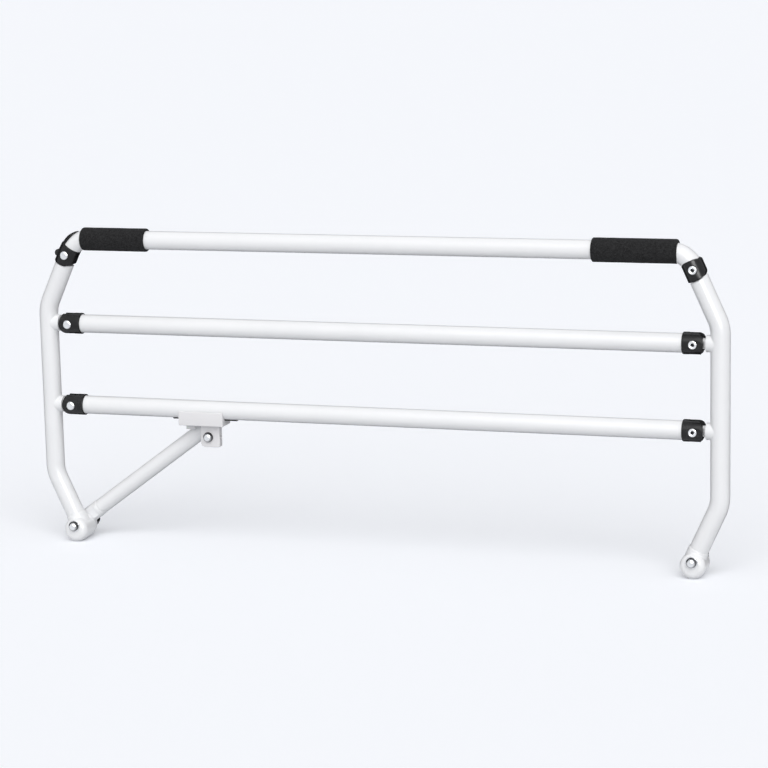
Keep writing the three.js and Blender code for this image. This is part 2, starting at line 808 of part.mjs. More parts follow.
// Room in the web for the spring beside the hub
function leverSpringRoom() {
  const front = leverWebHalfWidth - leverSpringWidth - fitGap;
  return pin(leverHub, leverHubRadius + fitGap, front, leverWebHalfWidth + cutOverrun);
}

// Release lever: a hub and web between the ears, and a thin shell that tapers along the bend
function releaseLever() {
  const { lerp } = THREE.MathUtils;
  const shellStart = elbowSleeveReach + fitGap;
  const bendEnd = elbowLead + elbowRadius * elbowTurn;
  const shellPath = stretchOf(elbowPath, shellStart, bendEnd - leftGripLap - leverTipGap);
  const shell = loft(
    frames(shellPath).map((place, i) => {
      const share = i / (shellPath.length - 1);
      const thickness = lerp(leverThickness, leverTipThickness, share);
      const halfWidth = lerp(leverHalfWidth, leverTipHalfWidth, share * share);
      return { ...place, outline: shellOutline(thickness, halfWidth) };
    }),
  );
  const webOutline = shellOutline(leverThickness, leverWebHalfWidth);
  const webPath = stretchOf(elbowPath, -leverHubBack, shellStart + leverThickness);
  const web = loft(frames(webPath).map((place) => ({ ...place, outline: webOutline })));
  const hubRear = leverWebHalfWidth - leverSpringWidth - fitGap;
  return shell
    .add(web)
    .subtract(leverSpringRoom())
    .add(pin(leverHub, leverHubRadius, -leverWebHalfWidth, hubRear))
    .subtract(pin(leverHub, leverPinRadius + fitGap, -sleeveRadius, sleeveRadius));
}

function leverPin() {
  return pin(leverHub, leverPinRadius, -leverPinReach, leverPinReach);
}

// Torsion spring round the lever's pin, as a plain ring
function leverSpring() {
  const inner = leverPinRadius + fitGap;
  return pin(leverHub, inner + leverSpringWall, leverWebHalfWidth - leverSpringWidth, leverWebHalfWidth).subtract(
    pin(leverHub, inner, 0, sleeveRadius),
  );
}

// The sleeve of the left elbow has room for the lever's hub and web, and holes for its pin
function leverSleeve() {
  const along = [-sleeveRadius - cutOverrun, elbowSleeveReach + cutOverrun];
  const outward = [slotDepth, sleeveRadius + cutOverrun];
  const thickness = [-slotHalfWidth, slotHalfWidth];
  return sleeve(elbowPath, elbowSleeveReach)
    .subtract(block(topPivot(leftSide), elbowAlong, along, outward, thickness))
    .subtract(pin(leverHub, leverPinRadius + fitGap, -leverPinReach - fitGap, leverPinReach + fitGap));
}

const bedRail = new THREE.Group();
const model = new THREE.Group();
model.position.y = (frontReach - rearReach) / 2;
bedRail.add(model);

function place(name, shape, finish) {
  const { vertProperties, triVerts } = shape.getMesh();
  const geometry = new THREE.BufferGeometry();
  geometry.setAttribute("position", new THREE.Float32BufferAttribute(vertProperties, 3));
  geometry.setIndex(new THREE.BufferAttribute(triVerts, 1));
  geometry.computeVertexNormals();
  const mesh = new THREE.Mesh(geometry, new THREE.MeshStandardMaterial(finish));
  mesh.name = name;
  model.add(mesh);
}

place("top_rail", topRail(), whitePaint);
place("mid_rail", levelRail(midRailHeight), whitePaint);
place("lower_rail", levelRail(lowRailHeight), whitePaint);
place("left_grip", grip(leftSide, leftGripLap, leftGripLength), blackFoam);
place("right_grip", grip(rightSide, rightGripLap, rightGripLength), blackFoam);

const ends = [
  { name: "left", side: leftSide, nutSeat: stayEyeRear, rivet: domeRivet },
  { name: "right", side: rightSide, nutSeat: footRear, rivet: eyeletRivet },
];
for (const { name, side, nutSeat, rivet } of ends) {
  place(`${name}_post`, post(side), whitePaint);
  place(`${name}_top_tongue`, postTongue(side), whitePaint);
  place(`${name}_top_rivet`, rivet(topPivot(side)), chrome);
  place(`${name}_foot`, foot(side), whitePaint);
  place(`${name}_foot_bolt`, footBolt(side, nutSeat), chrome);
  place(`${name}_foot_washer`, footWasher(side), chrome);
  place(`${name}_foot_nut`, footNut(side, nutSeat), blackPlastic);
  for (const [level, height] of [["mid", midRailHeight], ["low", lowRailHeight]]) {
    place(`${name}_${level}_stub`, stub(side, height), whitePaint);
    place(`${name}_${level}_tongue`, stubTongue(side, height), whitePaint);
    place(`${name}_${level}_sleeve`, sleeve(levelPath(side, height), sleeveReach), blackPlastic);
    place(`${name}_${level}_rivet`, rivet(at(side * pivotX, height)), chrome);
  }
}
place("left_top_sleeve", leverSleeve(), blackPlastic);
place("right_top_sleeve", sleeve(topRailPath(rightSide), elbowSleeveReach), blackPlastic);
place("release_lever", releaseLever(), blackPlastic);
place("release_lever_pin", leverPin(), plainSteel);
place("release_lever_spring", leverSpring(), plainSteel);

place("stay_tube", stayTube(), whitePaint);
place("stay_foot_fitting", stayFootFitting(), whitePaint);
place("stay_top_fitting", stayTopFitting(), plainSteel);
place("saddle", saddle(), whitePaint);
place("saddle_liner", saddleLiner(), blackPlastic);
place("saddle_pin_bolt", pinBolt(), chrome);
place("saddle_pin_spacer", pinSpacer(), plainSteel);
place("saddle_pin_nut", pinNut(), plainSteel);
place("latch_button", latchButton(), whitePaint);
place("latch_spring", latchSpring(), plainSteel);

export default bedRail;
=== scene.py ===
# A folding bed guard rail: smooth tubes, moulded hinge sleeves, foam grips, cast feet and the stay with its
# saddle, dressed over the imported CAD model. Sizes are in millimetres and become metres when a mesh is made.
# X runs along the rails, Y from the front to the back, and Z is up from the floor.
import json
import math

import bmesh
import bpy
from mathutils import Matrix, Vector, noise


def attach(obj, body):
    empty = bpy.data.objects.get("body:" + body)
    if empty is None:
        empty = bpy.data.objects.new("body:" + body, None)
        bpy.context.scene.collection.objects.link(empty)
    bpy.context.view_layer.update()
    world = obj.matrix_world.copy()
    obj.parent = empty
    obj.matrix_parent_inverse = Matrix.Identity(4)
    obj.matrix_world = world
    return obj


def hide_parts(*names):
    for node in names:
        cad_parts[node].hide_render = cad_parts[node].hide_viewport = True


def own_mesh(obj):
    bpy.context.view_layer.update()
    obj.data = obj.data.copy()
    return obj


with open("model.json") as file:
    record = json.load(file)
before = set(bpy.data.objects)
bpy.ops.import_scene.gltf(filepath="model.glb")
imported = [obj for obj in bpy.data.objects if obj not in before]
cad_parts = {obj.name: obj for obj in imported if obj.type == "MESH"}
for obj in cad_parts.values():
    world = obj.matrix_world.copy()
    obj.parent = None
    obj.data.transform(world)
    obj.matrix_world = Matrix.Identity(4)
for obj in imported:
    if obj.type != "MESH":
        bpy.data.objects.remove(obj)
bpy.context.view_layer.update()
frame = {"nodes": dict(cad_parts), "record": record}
print("frame loaded:", len(frame["nodes"]), "nodes")

mm = 0.001
record = frame["record"]
bodyOf = {node: body for body, nodes in record["behaviour"]["bodies"].items() for node in nodes}
slotOf = {part["node"]: part["material_slot"] for part in record["subparts"]}

# Lines that several pieces share
layout = {
    "railPlane": -5.05,  # of the rails' axes, along Y
    "pivotX": 433.3,
    "postSpacing": 933,
    "footPivotHeight": 23,
    "lowRailHeight": 191.5,
    "midRailHeight": 304.6,
    "topPivotHeight": 399.7,
    "topRailHeight": 421.3,
    "slantAngle": 24.5,  # degrees from upright
    "postBendRadius": 50,
    "elbowLead": 0.6,
    "fitGap": 0.3,
    "cutOverrun": 5,
}

facets = {
    "tube": 72,
    "turned": 64,
    "wire": 4,
    "rim": 5,  # steps in a rounded rim
    "easedCorner": 4,  # steps in a rounded corner of a profile
    "easedShare": 0.45,  # of a side, the most that its rounded corner takes
    "bevelSteps": 3,
    "bevelAngle": 35,  # degrees; a flatter edge isn't rounded
    "bendStep": 2,  # degrees
    "smoothAngle": 32,  # degrees; a sharper edge stays crisp
    "weld": 0.002,
    "probe": 0.4,  # for the direction of a line at a point
    "least": 0.01,  # a rim or radius that is as good as none
}

left = -1
right = 1
ends = {"left": left, "right": right}
levels = {"mid": layout["midRailHeight"], "low": layout["lowRailHeight"]}
gap = layout["fitGap"]
overrun = layout["cutOverrun"]
sharpRims = (facets["least"], facets["least"])
halfSpacing = layout["postSpacing"] / 2
slant = math.radians(layout["slantAngle"])
elbowRise = layout["topRailHeight"] - layout["topPivotHeight"]
elbowBendRadius = (elbowRise / math.cos(slant) - layout["elbowLead"]) / math.tan(math.pi / 4 - slant / 2)


def shares(steps):
    return [k / steps for k in range(steps + 1)]


def quarterTurns(steps):
    return [math.pi / 2 * k / steps for k in range(steps + 1)]


def normalTo(along):
    return Vector((-along.y, along.x))


# Lines in the plane of the rails are lists of (x, z) points
def bentLine(corners, bendRadius):
    line = [corners[0]]
    for before, corner, after in zip(corners, corners[1:], corners[2:]):
        into = (corner - before).normalized()
        out = (after - corner).normalized()
        turn = math.atan2(into.x * out.y - into.y * out.x, into.dot(out))
        start = corner - into * (bendRadius * math.tan(abs(turn) / 2))
        centre = start + normalTo(into) * math.copysign(bendRadius, turn)
        steps = math.ceil(math.degrees(abs(turn)) / facets["bendStep"])
        line += [centre + Matrix.Rotation(turn * share, 2) @ (start - centre) for share in shares(steps)]
    return line + [corners[-1]]


def distancesAlong(line):
    distances = [0]
    for near, far in zip(line, line[1:]):
        distances.append(distances[-1] + (far - near).length)
    return distances


def lengthOf(line):
    return distancesAlong(line)[-1]


def pointAt(line, distance):
    i = 0
    remaining = distance
    while i + 2 < len(line) and remaining > (line[i + 1] - line[i]).length:
        remaining -= (line[i + 1] - line[i]).length
        i += 1
    return line[i].lerp(line[i + 1], remaining / (line[i + 1] - line[i]).length)


def directionAt(line, distance):
    probe = facets["probe"]
    return (pointAt(line, distance + probe) - pointAt(line, distance - probe)).normalized()


def pivotAt(side, height):
    return Vector((side * layout["pivotX"], height))


def footPivot(side):
    return pivotAt(side, layout["footPivotHeight"])


def topPivot(side):
    return pivotAt(side, layout["topPivotHeight"])


def levelLine(side, height):
    return [pivotAt(side, height), pivotAt(-side, height)]


# From the foot pivot up to the top pivot
def postLine(side):
    run = (halfSpacing - layout["pivotX"]) / math.tan(slant)
    lowCorner = Vector((side * halfSpacing, layout["footPivotHeight"] + run))
    highCorner = Vector((side * halfSpacing, layout["topPivotHeight"] - run))
    return bentLine([footPivot(side), lowCorner, highCorner, topPivot(side)], layout["postBendRadius"])


# From the pivot on one side to the other
def topRailLine(side):
    cornerX = layout["pivotX"] - elbowRise * math.tan(slant)
    corners = [Vector((end * cornerX, layout["topRailHeight"])) for end in (side, -side)]
    return bentLine([topPivot(side), *corners, topPivot(-side)], elbowBendRadius)


# Meshes
def addObject(name, data):
    thing = bpy.data.objects.new(name, data)
    bpy.context.scene.collection.objects.link(thing)
    return thing


def evaluatedMesh(thing):
    bpy.context.view_layer.update()
    return bpy.data.meshes.new_from_object(thing.evaluated_get(bpy.context.evaluated_depsgraph_get()))


def cleaned(piece):
    work = bmesh.new()
    work.from_mesh(piece.data)
    bmesh.ops.remove_doubles(work, verts=work.verts, dist=facets["weld"] * mm)
    bmesh.ops.recalc_face_normals(work, faces=work.faces)
    work.to_mesh(piece.data)
    work.free()
    return piece


def meshPiece(name, points, faces):
    mesh = bpy.data.meshes.new(name)
    plane = layout["railPlane"]
    mesh.from_pydata([(x * mm, (y + plane) * mm, z * mm) for x, y, z in points], [], faces)
    return cleaned(addObject(name, mesh))


def applied(piece):
    shape = evaluatedMesh(piece)
    piece.modifiers.clear()
    piece.data = shape
    return piece


def combined(piece, others, operation):
    for other in others:
        step = piece.modifiers.new(operation, "BOOLEAN")
        step.operation = operation
        step.solver = "EXACT"
        step.object = other
        applied(piece)
        bpy.data.objects.remove(other)
    return cleaned(piece)


def joined(piece, *others):
    return combined(piece, others, "UNION")


def cutBy(piece, *others):
    return combined(piece, others, "DIFFERENCE")


def easedEdges(piece, width, steps=facets["bevelSteps"]):
    step = piece.modifiers.new("edges", "BEVEL")
    step.width = width * mm
    step.segments = steps
    step.limit_method = "ANGLE"
    step.angle_limit = math.radians(facets["bevelAngle"])
    step.miter_outer = "MITER_ARC"
    return cleaned(applied(piece))


# A casting's soft skin: the shape is cut into even small facets and smoothed
def castSkin(piece, size, passes):
    skin = piece.modifiers.new("skin", "REMESH")
    skin.mode = "VOXEL"
    skin.voxel_size = size * mm
    smooth = piece.modifiers.new("smooth", "SMOOTH")
    smooth.iterations = passes
    return cleaned(applied(piece))


# Skins rings of as many points each, one after the other
def ringPiece(name, rings, closed=False):
    count = len(rings[0])
    points = [point for ring in rings for point in ring]
    faces = []
    for i in range(len(rings) if closed else len(rings) - 1):
        a = i * count
        b = (i + 1) % len(rings) * count
        faces += [(a + j, a + (j + 1) % count, b + (j + 1) % count, b + j) for j in range(count)]
    if not closed:
        faces += [tuple(reversed(range(count))), tuple(range(len(points) - count, len(points)))]
    return meshPiece(name, points, faces)


def roundOutline(radius):
    turns = [2 * math.pi * j / facets["tube"] for j in range(facets["tube"])]
    return [(radius * math.cos(turn), radius * math.sin(turn)) for turn in turns]


# An outline's points lie across the line and along Y
def ringAt(line, distance, outline, plane=0):
    centre = pointAt(line, distance)
    ahead = directionAt(line, distance)
    return [(centre.x + ahead.y * across, plane + up, centre.y - ahead.x * across) for across, up in outline]


def roundRing(line, distance, radius, plane=0):
    return ringAt(line, distance, roundOutline(radius), plane)


# Distances and radii along a round shape whose two rims are rounded
def rimmedRun(start, end, radius, rims, between=()):
    turns = quarterTurns(facets["rim"])
    first, last = rims
    run = [(start + first * (1 - math.cos(t)), radius - first * (1 - math.sin(t))) for t in turns]
    run += [(d, radius) for d in between if start + first < d < end - last]
    run += [(end - last * (1 - math.cos(t)), radius - last * (1 - math.sin(t))) for t in reversed(turns)]
    return run


def barPiece(name, line, start, end, radius, rims=sharpRims, plane=0):
    run = rimmedRun(start, end, radius, rims, distancesAlong(line))
    return ringPiece(name, [roundRing(line, d, r, plane) for d, r in run])


# Rounds the corners of a profile or outline
def eased(points, reach, closed=False):
    result = []
    for i, point in enumerate(points):
        here = Vector(point)
        if not closed and i in (0, len(points) - 1):
            result.append(tuple(here))
            continue
        before = Vector(points[i - 1]) - here
        after = Vector(points[(i + 1) % len(points)]) - here
        most = facets["easedShare"]
        start = here + before.normalized() * min(reach, before.length * most)
        end = here + after.normalized() * min(reach, after.length * most)
        steps = shares(facets["easedCorner"])
        result += [tuple(start.lerp(here, t).lerp(here.lerp(end, t), t)) for t in steps]
    return result


# Turns a profile of (radius, y) about a line along Y; shape may change the radius round the turn
def turnedPiece(name, centre, profile, closed=False, shape=None, count=facets["turned"]):
    points = []
    rows = []
    for radius, y in profile:
        onAxis = radius < facets["least"]
        row = []
        for j in range(1 if onAxis else count):
            turn = 2 * math.pi * j / count
            reach = shape(turn, radius) if shape else radius
            row.append(len(points))
            points.append((centre[0] + reach * math.cos(turn), y, centre[1] + reach * math.sin(turn)))
        rows.append(row * count if onAxis else row)
    if closed:
        rows.append(rows[0])
    faces = []
    for near, far in zip(rows, rows[1:]):
        for j in range(count):
            k = (j + 1) % count
            face = tuple(dict.fromkeys((near[j], near[k], far[k], far[j])))
            if len(face) > 2:
                faces.append(face)
    return meshPiece(name, points, faces)


def cylinderCut(centre, radius, front, rear):
    return turnedPiece("cut", centre, [(0, front), (radius, front), (radius, rear), (0, rear)])


# An outline in the plane of the rails, as thick as from front to rear
def platePiece(name, outline, front, rear):
    count = len(outline)
    points = [(p[0], y, p[1]) for y in (front, rear) for p in outline]
    faces = [tuple(range(count)), tuple(range(count, 2 * count))]
    faces += [(j, (j + 1) % count, count + (j + 1) % count, count + j) for j in range(count)]
    return meshPiece(name, points, faces)


def rectangle(low, high):
    return [Vector(low), Vector((high[0], low[1])), Vector(high), Vector((low[0], high[1]))]


# A block that runs along a direction from a start point
def blockPiece(name, start, along, span, across, depth):
    corners = rectangle((span[0], across[0]), (span[1], across[1]))
    return platePiece(name, [start + along * u + normalTo(along) * v for u, v in corners], *depth)


def arcPoints(centre, radius, start, end, steps):
    turns = [math.radians(start + (end - start) * share) for share in shares(steps)]
    return [Vector((centre[0] + radius * math.cos(t), centre[1] + radius * math.sin(t))) for t in turns]


# Points round a coil's circle and along it
def coilPoints(reach, length, turns, steps):
    angles = [2 * math.pi * turns * share for share in shares(turns * steps)]
    rises = [length * share for share in shares(turns * steps)]
    return [(reach * math.cos(angle), reach * math.sin(angle), rise) for angle, rise in zip(angles, rises)]


def wirePiece(name, points, radius):
    curve = bpy.data.curves.new(name, "CURVE")
    curve.dimensions = "3D"
    curve.bevel_depth = radius * mm
    curve.bevel_resolution = facets["wire"]
    curve.use_fill_caps = True
    spline = curve.splines.new("POLY")
    spline.points.add(len(points) - 1)
    for knot, (x, y, z) in zip(spline.points, points):
        knot.co = (x * mm, (y + layout["railPlane"]) * mm, z * mm, 1)
    source = addObject(name, curve)
    piece = addObject(name, evaluatedMesh(source))
    bpy.data.objects.remove(source)
    return cleaned(piece)


# Shader nodes
def addNode(tree, kind, sockets=None, **settings):
    node = tree.nodes.new("ShaderNode" + kind)
    for key, value in settings.items():
        setattr(node, key, value)
    return withValues(node, sockets or {})


def withValues(node, sockets):
    for key, value in sockets.items():
        node.inputs[key].default_value = value
    return node


def addMix(tree, **tones):
    return addNode(tree, "Mix", {name: (*tone, 1) for name, tone in tones.items()}, data_type="RGBA")


def wire(tree, *links):
    for source, output, target, socket in links:
        tree.links.new(source.outputs[output], target.inputs[socket])


# A texture over a piece's own coordinates
def addTexture(tree, kind, sockets):
    texture = addNode(tree, kind, sockets)
    wire(tree, (addNode(tree, "TexCoord"), "Object", texture, "Vector"))
    return texture


def newMaterial(name):
    material = bpy.data.materials.new(name)
    material.use_nodes = True
    return material, material.node_tree, material.node_tree.nodes["Principled BSDF"]


# Shader node groups, each built once and placed in several materials
patterns = {
    "fine": {"Detail": 3, "Roughness": 0.55},
    "coarse": {"Detail": 2, "Roughness": 0.5},
    "coarseShare": 0.22,  # of the fine scale
    "cloud": {"Detail": 5, "Roughness": 0.6, "Distortion": 0.4},
    "broken": {"Detail": 4, "Roughness": 0.65},
}


def newGroup(name, inputs, output):
    group = bpy.data.node_groups.new(name, "ShaderNodeTree")
    for label in inputs:
        group.interface.new_socket(label, in_out="INPUT", socket_type="NodeSocketFloat")
    group.interface.new_socket(output, in_out="OUTPUT", socket_type="NodeSocketFloat")
    return group, group.nodes.new("NodeGroupInput"), group.nodes.new("NodeGroupOutput")


# Fine bumps all over a skin, such as a coat's orange peel or a mould's grain
def buildSkinGrain():
    group, given, result = newGroup("skinGrain", ("Scale", "Spread"), "Height")
    fine = addTexture(group, "TexNoise", patterns["fine"])
    coarse = addTexture(group, "TexNoise", patterns["coarse"])
    part = addNode(group, "Math", {1: patterns["coarseShare"]}, operation="MULTIPLY")
    blend = addNode(group, "Mix", data_type="FLOAT")
    wire(
        group,
        (given, "Scale", fine, "Scale"),
        (given, "Scale", part, 0),
        (part, 0, coarse, "Scale"),
        (given, "Spread", blend, "Factor"),
        (fine, "Fac", blend, "A"),
        (coarse, "Fac", blend, "B"),
        (blend, "Result", result, "Height"),
    )
    return group


# Broad soft patches where a surface has been handled or has dulled
def buildHandling():
    group, given, result = newGroup("handling", ("Scale", "Low", "High"), "Mask")
    cloud = addTexture(group, "TexNoise", patterns["cloud"])
    spread = addNode(group, "MapRange", interpolation_type="SMOOTHSTEP")
    wire(
        group,
        (given, "Scale", cloud, "Scale"),
        (cloud, "Fac", spread, "Value"),
        (given, "Low", spread, "From Min"),
        (given, "High", spread, "From Max"),
        (spread, "Result", result, "Mask"),
    )
    return group


# Light rubbing along the outer edges, broken up by noise
def buildEdgeRub():
    group, given, result = newGroup("edgeRub", ("Scale", "Start", "End"), "Mask")
    shape = addNode(group, "NewGeometry")
    edge = addNode(group, "MapRange", interpolation_type="SMOOTHSTEP")
    broken = addTexture(group, "TexNoise", patterns["broken"])
    both = addNode(group, "Math", operation="MULTIPLY")
    wire(
        group,
        (shape, "Pointiness", edge, "Value"),
        (given, "Start", edge, "From Min"),
        (given, "End", edge, "From Max"),
        (given, "Scale", broken, "Scale"),
        (edge, "Result", both, 0),
        (broken, "Fac", both, 1),
        (both, 0, result, "Mask"),
    )
    return group


groups = {"grain": buildSkinGrain(), "patches": buildHandling(), "rub": buildEdgeRub()}


# What every finish has: a colour, roughness between two values by a mask, and bumps by a height
def wireSkin(tree, shader, look, colour, mask, height):
    withValues(shader, look["shader"])
    gloss = addNode(tree, "MapRange", dict(zip(("To Min", "To Max"), look["roughness"])))
    bump = addNode(tree, "Bump", {"Strength": look["bump"][0], "Distance": look["bump"][1] * mm})
    wire(
        tree,
        (colour, "Result", shader, "Base Color"),
        (*mask, gloss, "Value"),
        (gloss, "Result", shader, "Roughness"),
        (*height, bump, "Height"),
        (bump, "Normal", shader, "Normal"),
    )


# Two tones mixed by handling, a third along rubbed edges, and a painted shade that darkens the foot of a
# chrome dome
def finish(name, look):
    material, tree, shader = newMaterial(name)
    placed = [addNode(tree, "Group", node_tree=group) for group in groups.values()]
    grain, patches, rub = (withValues(node, look[key]) for key, node in zip(groups, placed))
    tone = addMix(tree, A=look["colour"], B=look["patchColour"])
    worn = addMix(tree, B=look["rubColour"])
    # The painted shade marked on a dome's mesh
    paintedShade = addNode(tree, "Attribute", attribute_name="paintedShade")
    dark = addMix(tree, B=paintedShadeColour)
    wire(
        tree,
        (patches, "Mask", tone, "Factor"),
        (rub, "Mask", worn, "Factor"),
        (tone, "Result", worn, "A"),
        (paintedShade, "Fac", dark, "Factor"),
        (worn, "Result", dark, "A"),
    )
    wireSkin(tree, shader, look, dark, (patches, "Mask"), (grain, "Height"))
    return material


# Colour of the painted shade at the foot of the chrome domes
paintedShadeColour = (0.03, 0.03, 0.032)
lightUse = {"Scale": 420, "Start": 0.53, "End": 0.62}
looks = {
    "white_paint": {  # powder coat over steel
        "colour": (0.86, 0.865, 0.875),
        "patchColour": (0.835, 0.842, 0.852),
        "rubColour": (0.78, 0.785, 0.79),
        "roughness": (0.3, 0.38),
        "bump": (0.12, 0.05),  # strength and depth
        "grain": {"Scale": 850, "Spread": 0.35},
        "patches": {"Scale": 11, "Low": 0.4, "High": 0.75},
        "rub": {"Scale": 240, "Start": 0.56, "End": 0.72},
        "shader": {"Coat Weight": 0.25, "Coat Roughness": 0.14},
    },
    "white_plastic": {
        "colour": (0.84, 0.85, 0.86),
        "patchColour": (0.81, 0.82, 0.82),
        "rubColour": (0.72, 0.72, 0.71),
        "roughness": (0.34, 0.44),
        "bump": (0.1, 0.03),
        "grain": {"Scale": 2600, "Spread": 0.3},
        "patches": {"Scale": 40, "Low": 0.4, "High": 0.7},
        "rub": {"Scale": 500, "Start": 0.53, "End": 0.62},
        "shader": {"Subsurface Weight": 0.05, "Subsurface Scale": 0.002},
    },
    "black_plastic": {
        "colour": (0.009, 0.009, 0.0095),
        "patchColour": (0.014, 0.014, 0.015),
        "rubColour": (0.04, 0.04, 0.041),
        "roughness": (0.2, 0.3),
        "bump": (0.25, 0.04),
        "grain": {"Scale": 2200, "Spread": 0.3},
        "patches": {"Scale": 60, "Low": 0.38, "High": 0.7},
        "rub": lightUse,
        "shader": {"Specular IOR Level": 0.28},
    },
    "chrome": {
        "colour": (0.78, 0.79, 0.8),
        "patchColour": (0.74, 0.745, 0.75),
        "rubColour": (0.62, 0.62, 0.62),
        "roughness": (0.07, 0.15),
        "bump": (0.04, 0.01),
        "grain": {"Scale": 1500, "Spread": 0.5},
        "patches": {"Scale": 120, "Low": 0.35, "High": 0.75},
        "rub": {"Scale": 600, "Start": 0.54, "End": 0.66},
        "shader": {"Metallic": 1},
    },
    "plain_steel": {
        "colour": (0.5, 0.51, 0.52),
        "patchColour": (0.42, 0.43, 0.445),
        "rubColour": (0.66, 0.66, 0.66),
        "roughness": (0.28, 0.48),
        "bump": (0.15, 0.02),
        "grain": {"Scale": 1800, "Spread": 0.6},
        "patches": {"Scale": 90, "Low": 0.3, "High": 0.72},
        "rub": lightUse,
        "shader": {"Metallic": 1},
    },
}
# The cast saddle's paint: the white paint, a little rougher, and darker to paint in the shade that its faces
# fall in
shadedCastLook = {"colour": (0.785, 0.778, 0.788), "patchColour": (0.762, 0.755, 0.765), "roughness": (0.36, 0.44)}

# Closed-cell foam: small open pores in a matt black skin
foamLook = {
    "colour": (0.004, 0.004, 0.0043),
    "raisedColour": (0.024, 0.024, 0.025),
    "raised": {"From Min": 0.55, "From Max": 1.15},
    "pores": {"Scale": 900, "Randomness": 1},
    "poreShare": 0.8,
    "lumps": {"Scale": 260, "Detail": 6, "Roughness": 0.7},
    "bump": (0.85, 0.35),
    "roughness": (0.86, 0.98),
    "shader": {"Sheen Weight": 0.02, "Sheen Roughness": 0.6, "Specular IOR Level": 0.16},
}


def foamFinish(name, look):
    material, tree, shader = newMaterial(name)
    pores = addTexture(tree, "TexVoronoi", look["pores"])
    lumps = addTexture(tree, "TexNoise", look["lumps"])
    height = addNode(tree, "Math", {1: look["poreShare"]}, operation="MULTIPLY_ADD")
    colour = addMix(tree, A=look["colour"], B=look["raisedColour"])
    lift = addNode(tree, "MapRange", look["raised"], interpolation_type="SMOOTHSTEP")
    wire(
        tree,
        (pores, "Distance", height, 0),
        (lumps, "Fac", height, 2),
        (height, 0, lift, "Value"),
        (lift, "Result", colour, "Factor"),
    )
    wireSkin(tree, shader, look, colour, (lumps, "Fac"), (height, 0))
    return material


finishes = {slot: finish(slot, look) for slot, look in looks.items()}
finishes["black_foam"] = foamFinish("black_foam", foamLook)
# The saddle has its own darker copy of the white paint, which paints in its shade
finishes["saddle"] = finish("saddle_paint_painted_shade", looks["white_paint"] | shadedCastLook)
print("finishes made:", ", ".join(sorted(finishes)))


# Gives a piece the finish and the body of the CAD node that it stands for
def dress(piece, node):
    piece.data.shade_smooth()
    piece.data.set_sharp_from_angle(angle=math.radians(facets["smoothAngle"]))
    piece.data.materials.clear()
    piece.data.materials.append(finishes.get(node, finishes[slotOf[node]]))
    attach(piece, bodyOf[node])
    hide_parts(node)
    return piece


# Posts, rails and the stubs that the rails are pinned to
tubes = {
    "railRadius": 12.5,
    "postRadius": 12.7,
    "stubRadius": 11,
    "wall": 1.4,
    "rim": 0.4,
    "railEndSetback": 8.4,  # from the pivot
    "postEndSetback": 15.4,
    "postEndNearest": 9,  # where the swing leaves the most of the end
    "swingClearance": 15.1,  # beside the sleeve's barrel, once folded
    "swingSpan": 60,  # degrees of the post's end that it shapes
    "foldTurn": 72,  # degrees
    "swingSteps": 24,
    "socketStart": 5.6,
    "weldRise": 0.5,  # of the weld's fillet round a stub
    "weldRun": 1.4,
    "weldGap": 0.05,
}


def tubePiece(name, line, start, end, radius, plane=0):
    rims = (tubes["rim"], tubes["rim"])
    outside = rimmedRun(start, end, radius, rims, distancesAlong(line))
    inside = rimmedRun(start, end, radius - tubes["wall"], sharpRims, distancesAlong(line))
    rings = [roundRing(line, d, r, plane) for d, r in outside + inside[::-1]]
    return ringPiece(name, rings, closed=True)


def makeRail(node, line):
    setback = tubes["railEndSetback"]
    dress(tubePiece(node + "_tube", line, setback, lengthOf(line) - setback, tubes["railRadius"]), node)


# The room that a post's end leaves round the pivot: flat, and curved where it swings past the sleeve
def postEndRoom(side):
    pivot = topPivot(side)
    along = directionAt(topRailLine(side), 0)
    normal = normalTo(along)
    setback = tubes["postEndSetback"]
    wide = tubes["postRadius"] + setback
    outline = [pivot + (normal + along) * wide, pivot + normal * wide - along * setback]
    for share in shares(tubes["swingSteps"]):
        turn = math.radians(tubes["swingSpan"]) * share
        folded = max(turn + math.radians(tubes["foldTurn"]), math.pi / 2)
        reach = max(setback, tubes["swingClearance"] / math.sin(folded))
        outline.append(pivot - normal * reach * math.sin(turn) - along * reach * math.cos(turn))
    outline += [pivot - normal * wide, pivot - (normal - along) * wide]
    return platePiece("room", outline, -wide, wide)


def makePost(name, side):
    line = postLine(side)
    start = tubes["socketStart"] + gap
    end = lengthOf(line) - tubes["postEndNearest"]
    node = name + "_post"
    body = tubePiece(node + "_tube", line, start, end, tubes["postRadius"])
    dress(cutBy(body, postEndRoom(side)), node)


# A stub's ring at a distance from the post's round side, which it follows
def stubRing(side, height, radius, offset):
    ring = []
    for across, up in roundOutline(radius):
        x = halfSpacing - math.sqrt(tubes["postRadius"] ** 2 - up ** 2) - offset
        ring.append((side * x, up, height - side * across))
    return ring


def makeStub(node, side, height):
    radius = tubes["stubRadius"]
    bore = radius - tubes["wall"]
    start = tubes["postEndSetback"]
    line = [pivotAt(side, height), Vector((side * halfSpacing, height))]
    begin = rimmedRun(start, lengthOf(line), radius, (tubes["rim"], 0))
    rings = [roundRing(line, d, r) for d, r in begin[:facets["rim"] + 1]]
    for turn in quarterTurns(facets["rim"]):
        flare = radius + tubes["weldRise"] * (1 - math.cos(turn))
        offset = tubes["weldRun"] * (1 - math.sin(turn)) + tubes["weldGap"]
        rings.append(stubRing(side, height, flare, offset))
    rings += [stubRing(side, height, bore, gap), roundRing(line, start, bore)]
    dress(ringPiece(node + "_tube", rings, closed=True), node)


makeRail("top_rail", topRailLine(left))
makeRail("mid_rail", levelLine(left, levels["mid"]))
makeRail("lower_rail", levelLine(left, levels["low"]))
for name, side in ends.items():
    makePost(name, side)
    for level, height in levels.items():
        makeStub(name + "_" + level + "_stub", side, height)
print("tubes made")

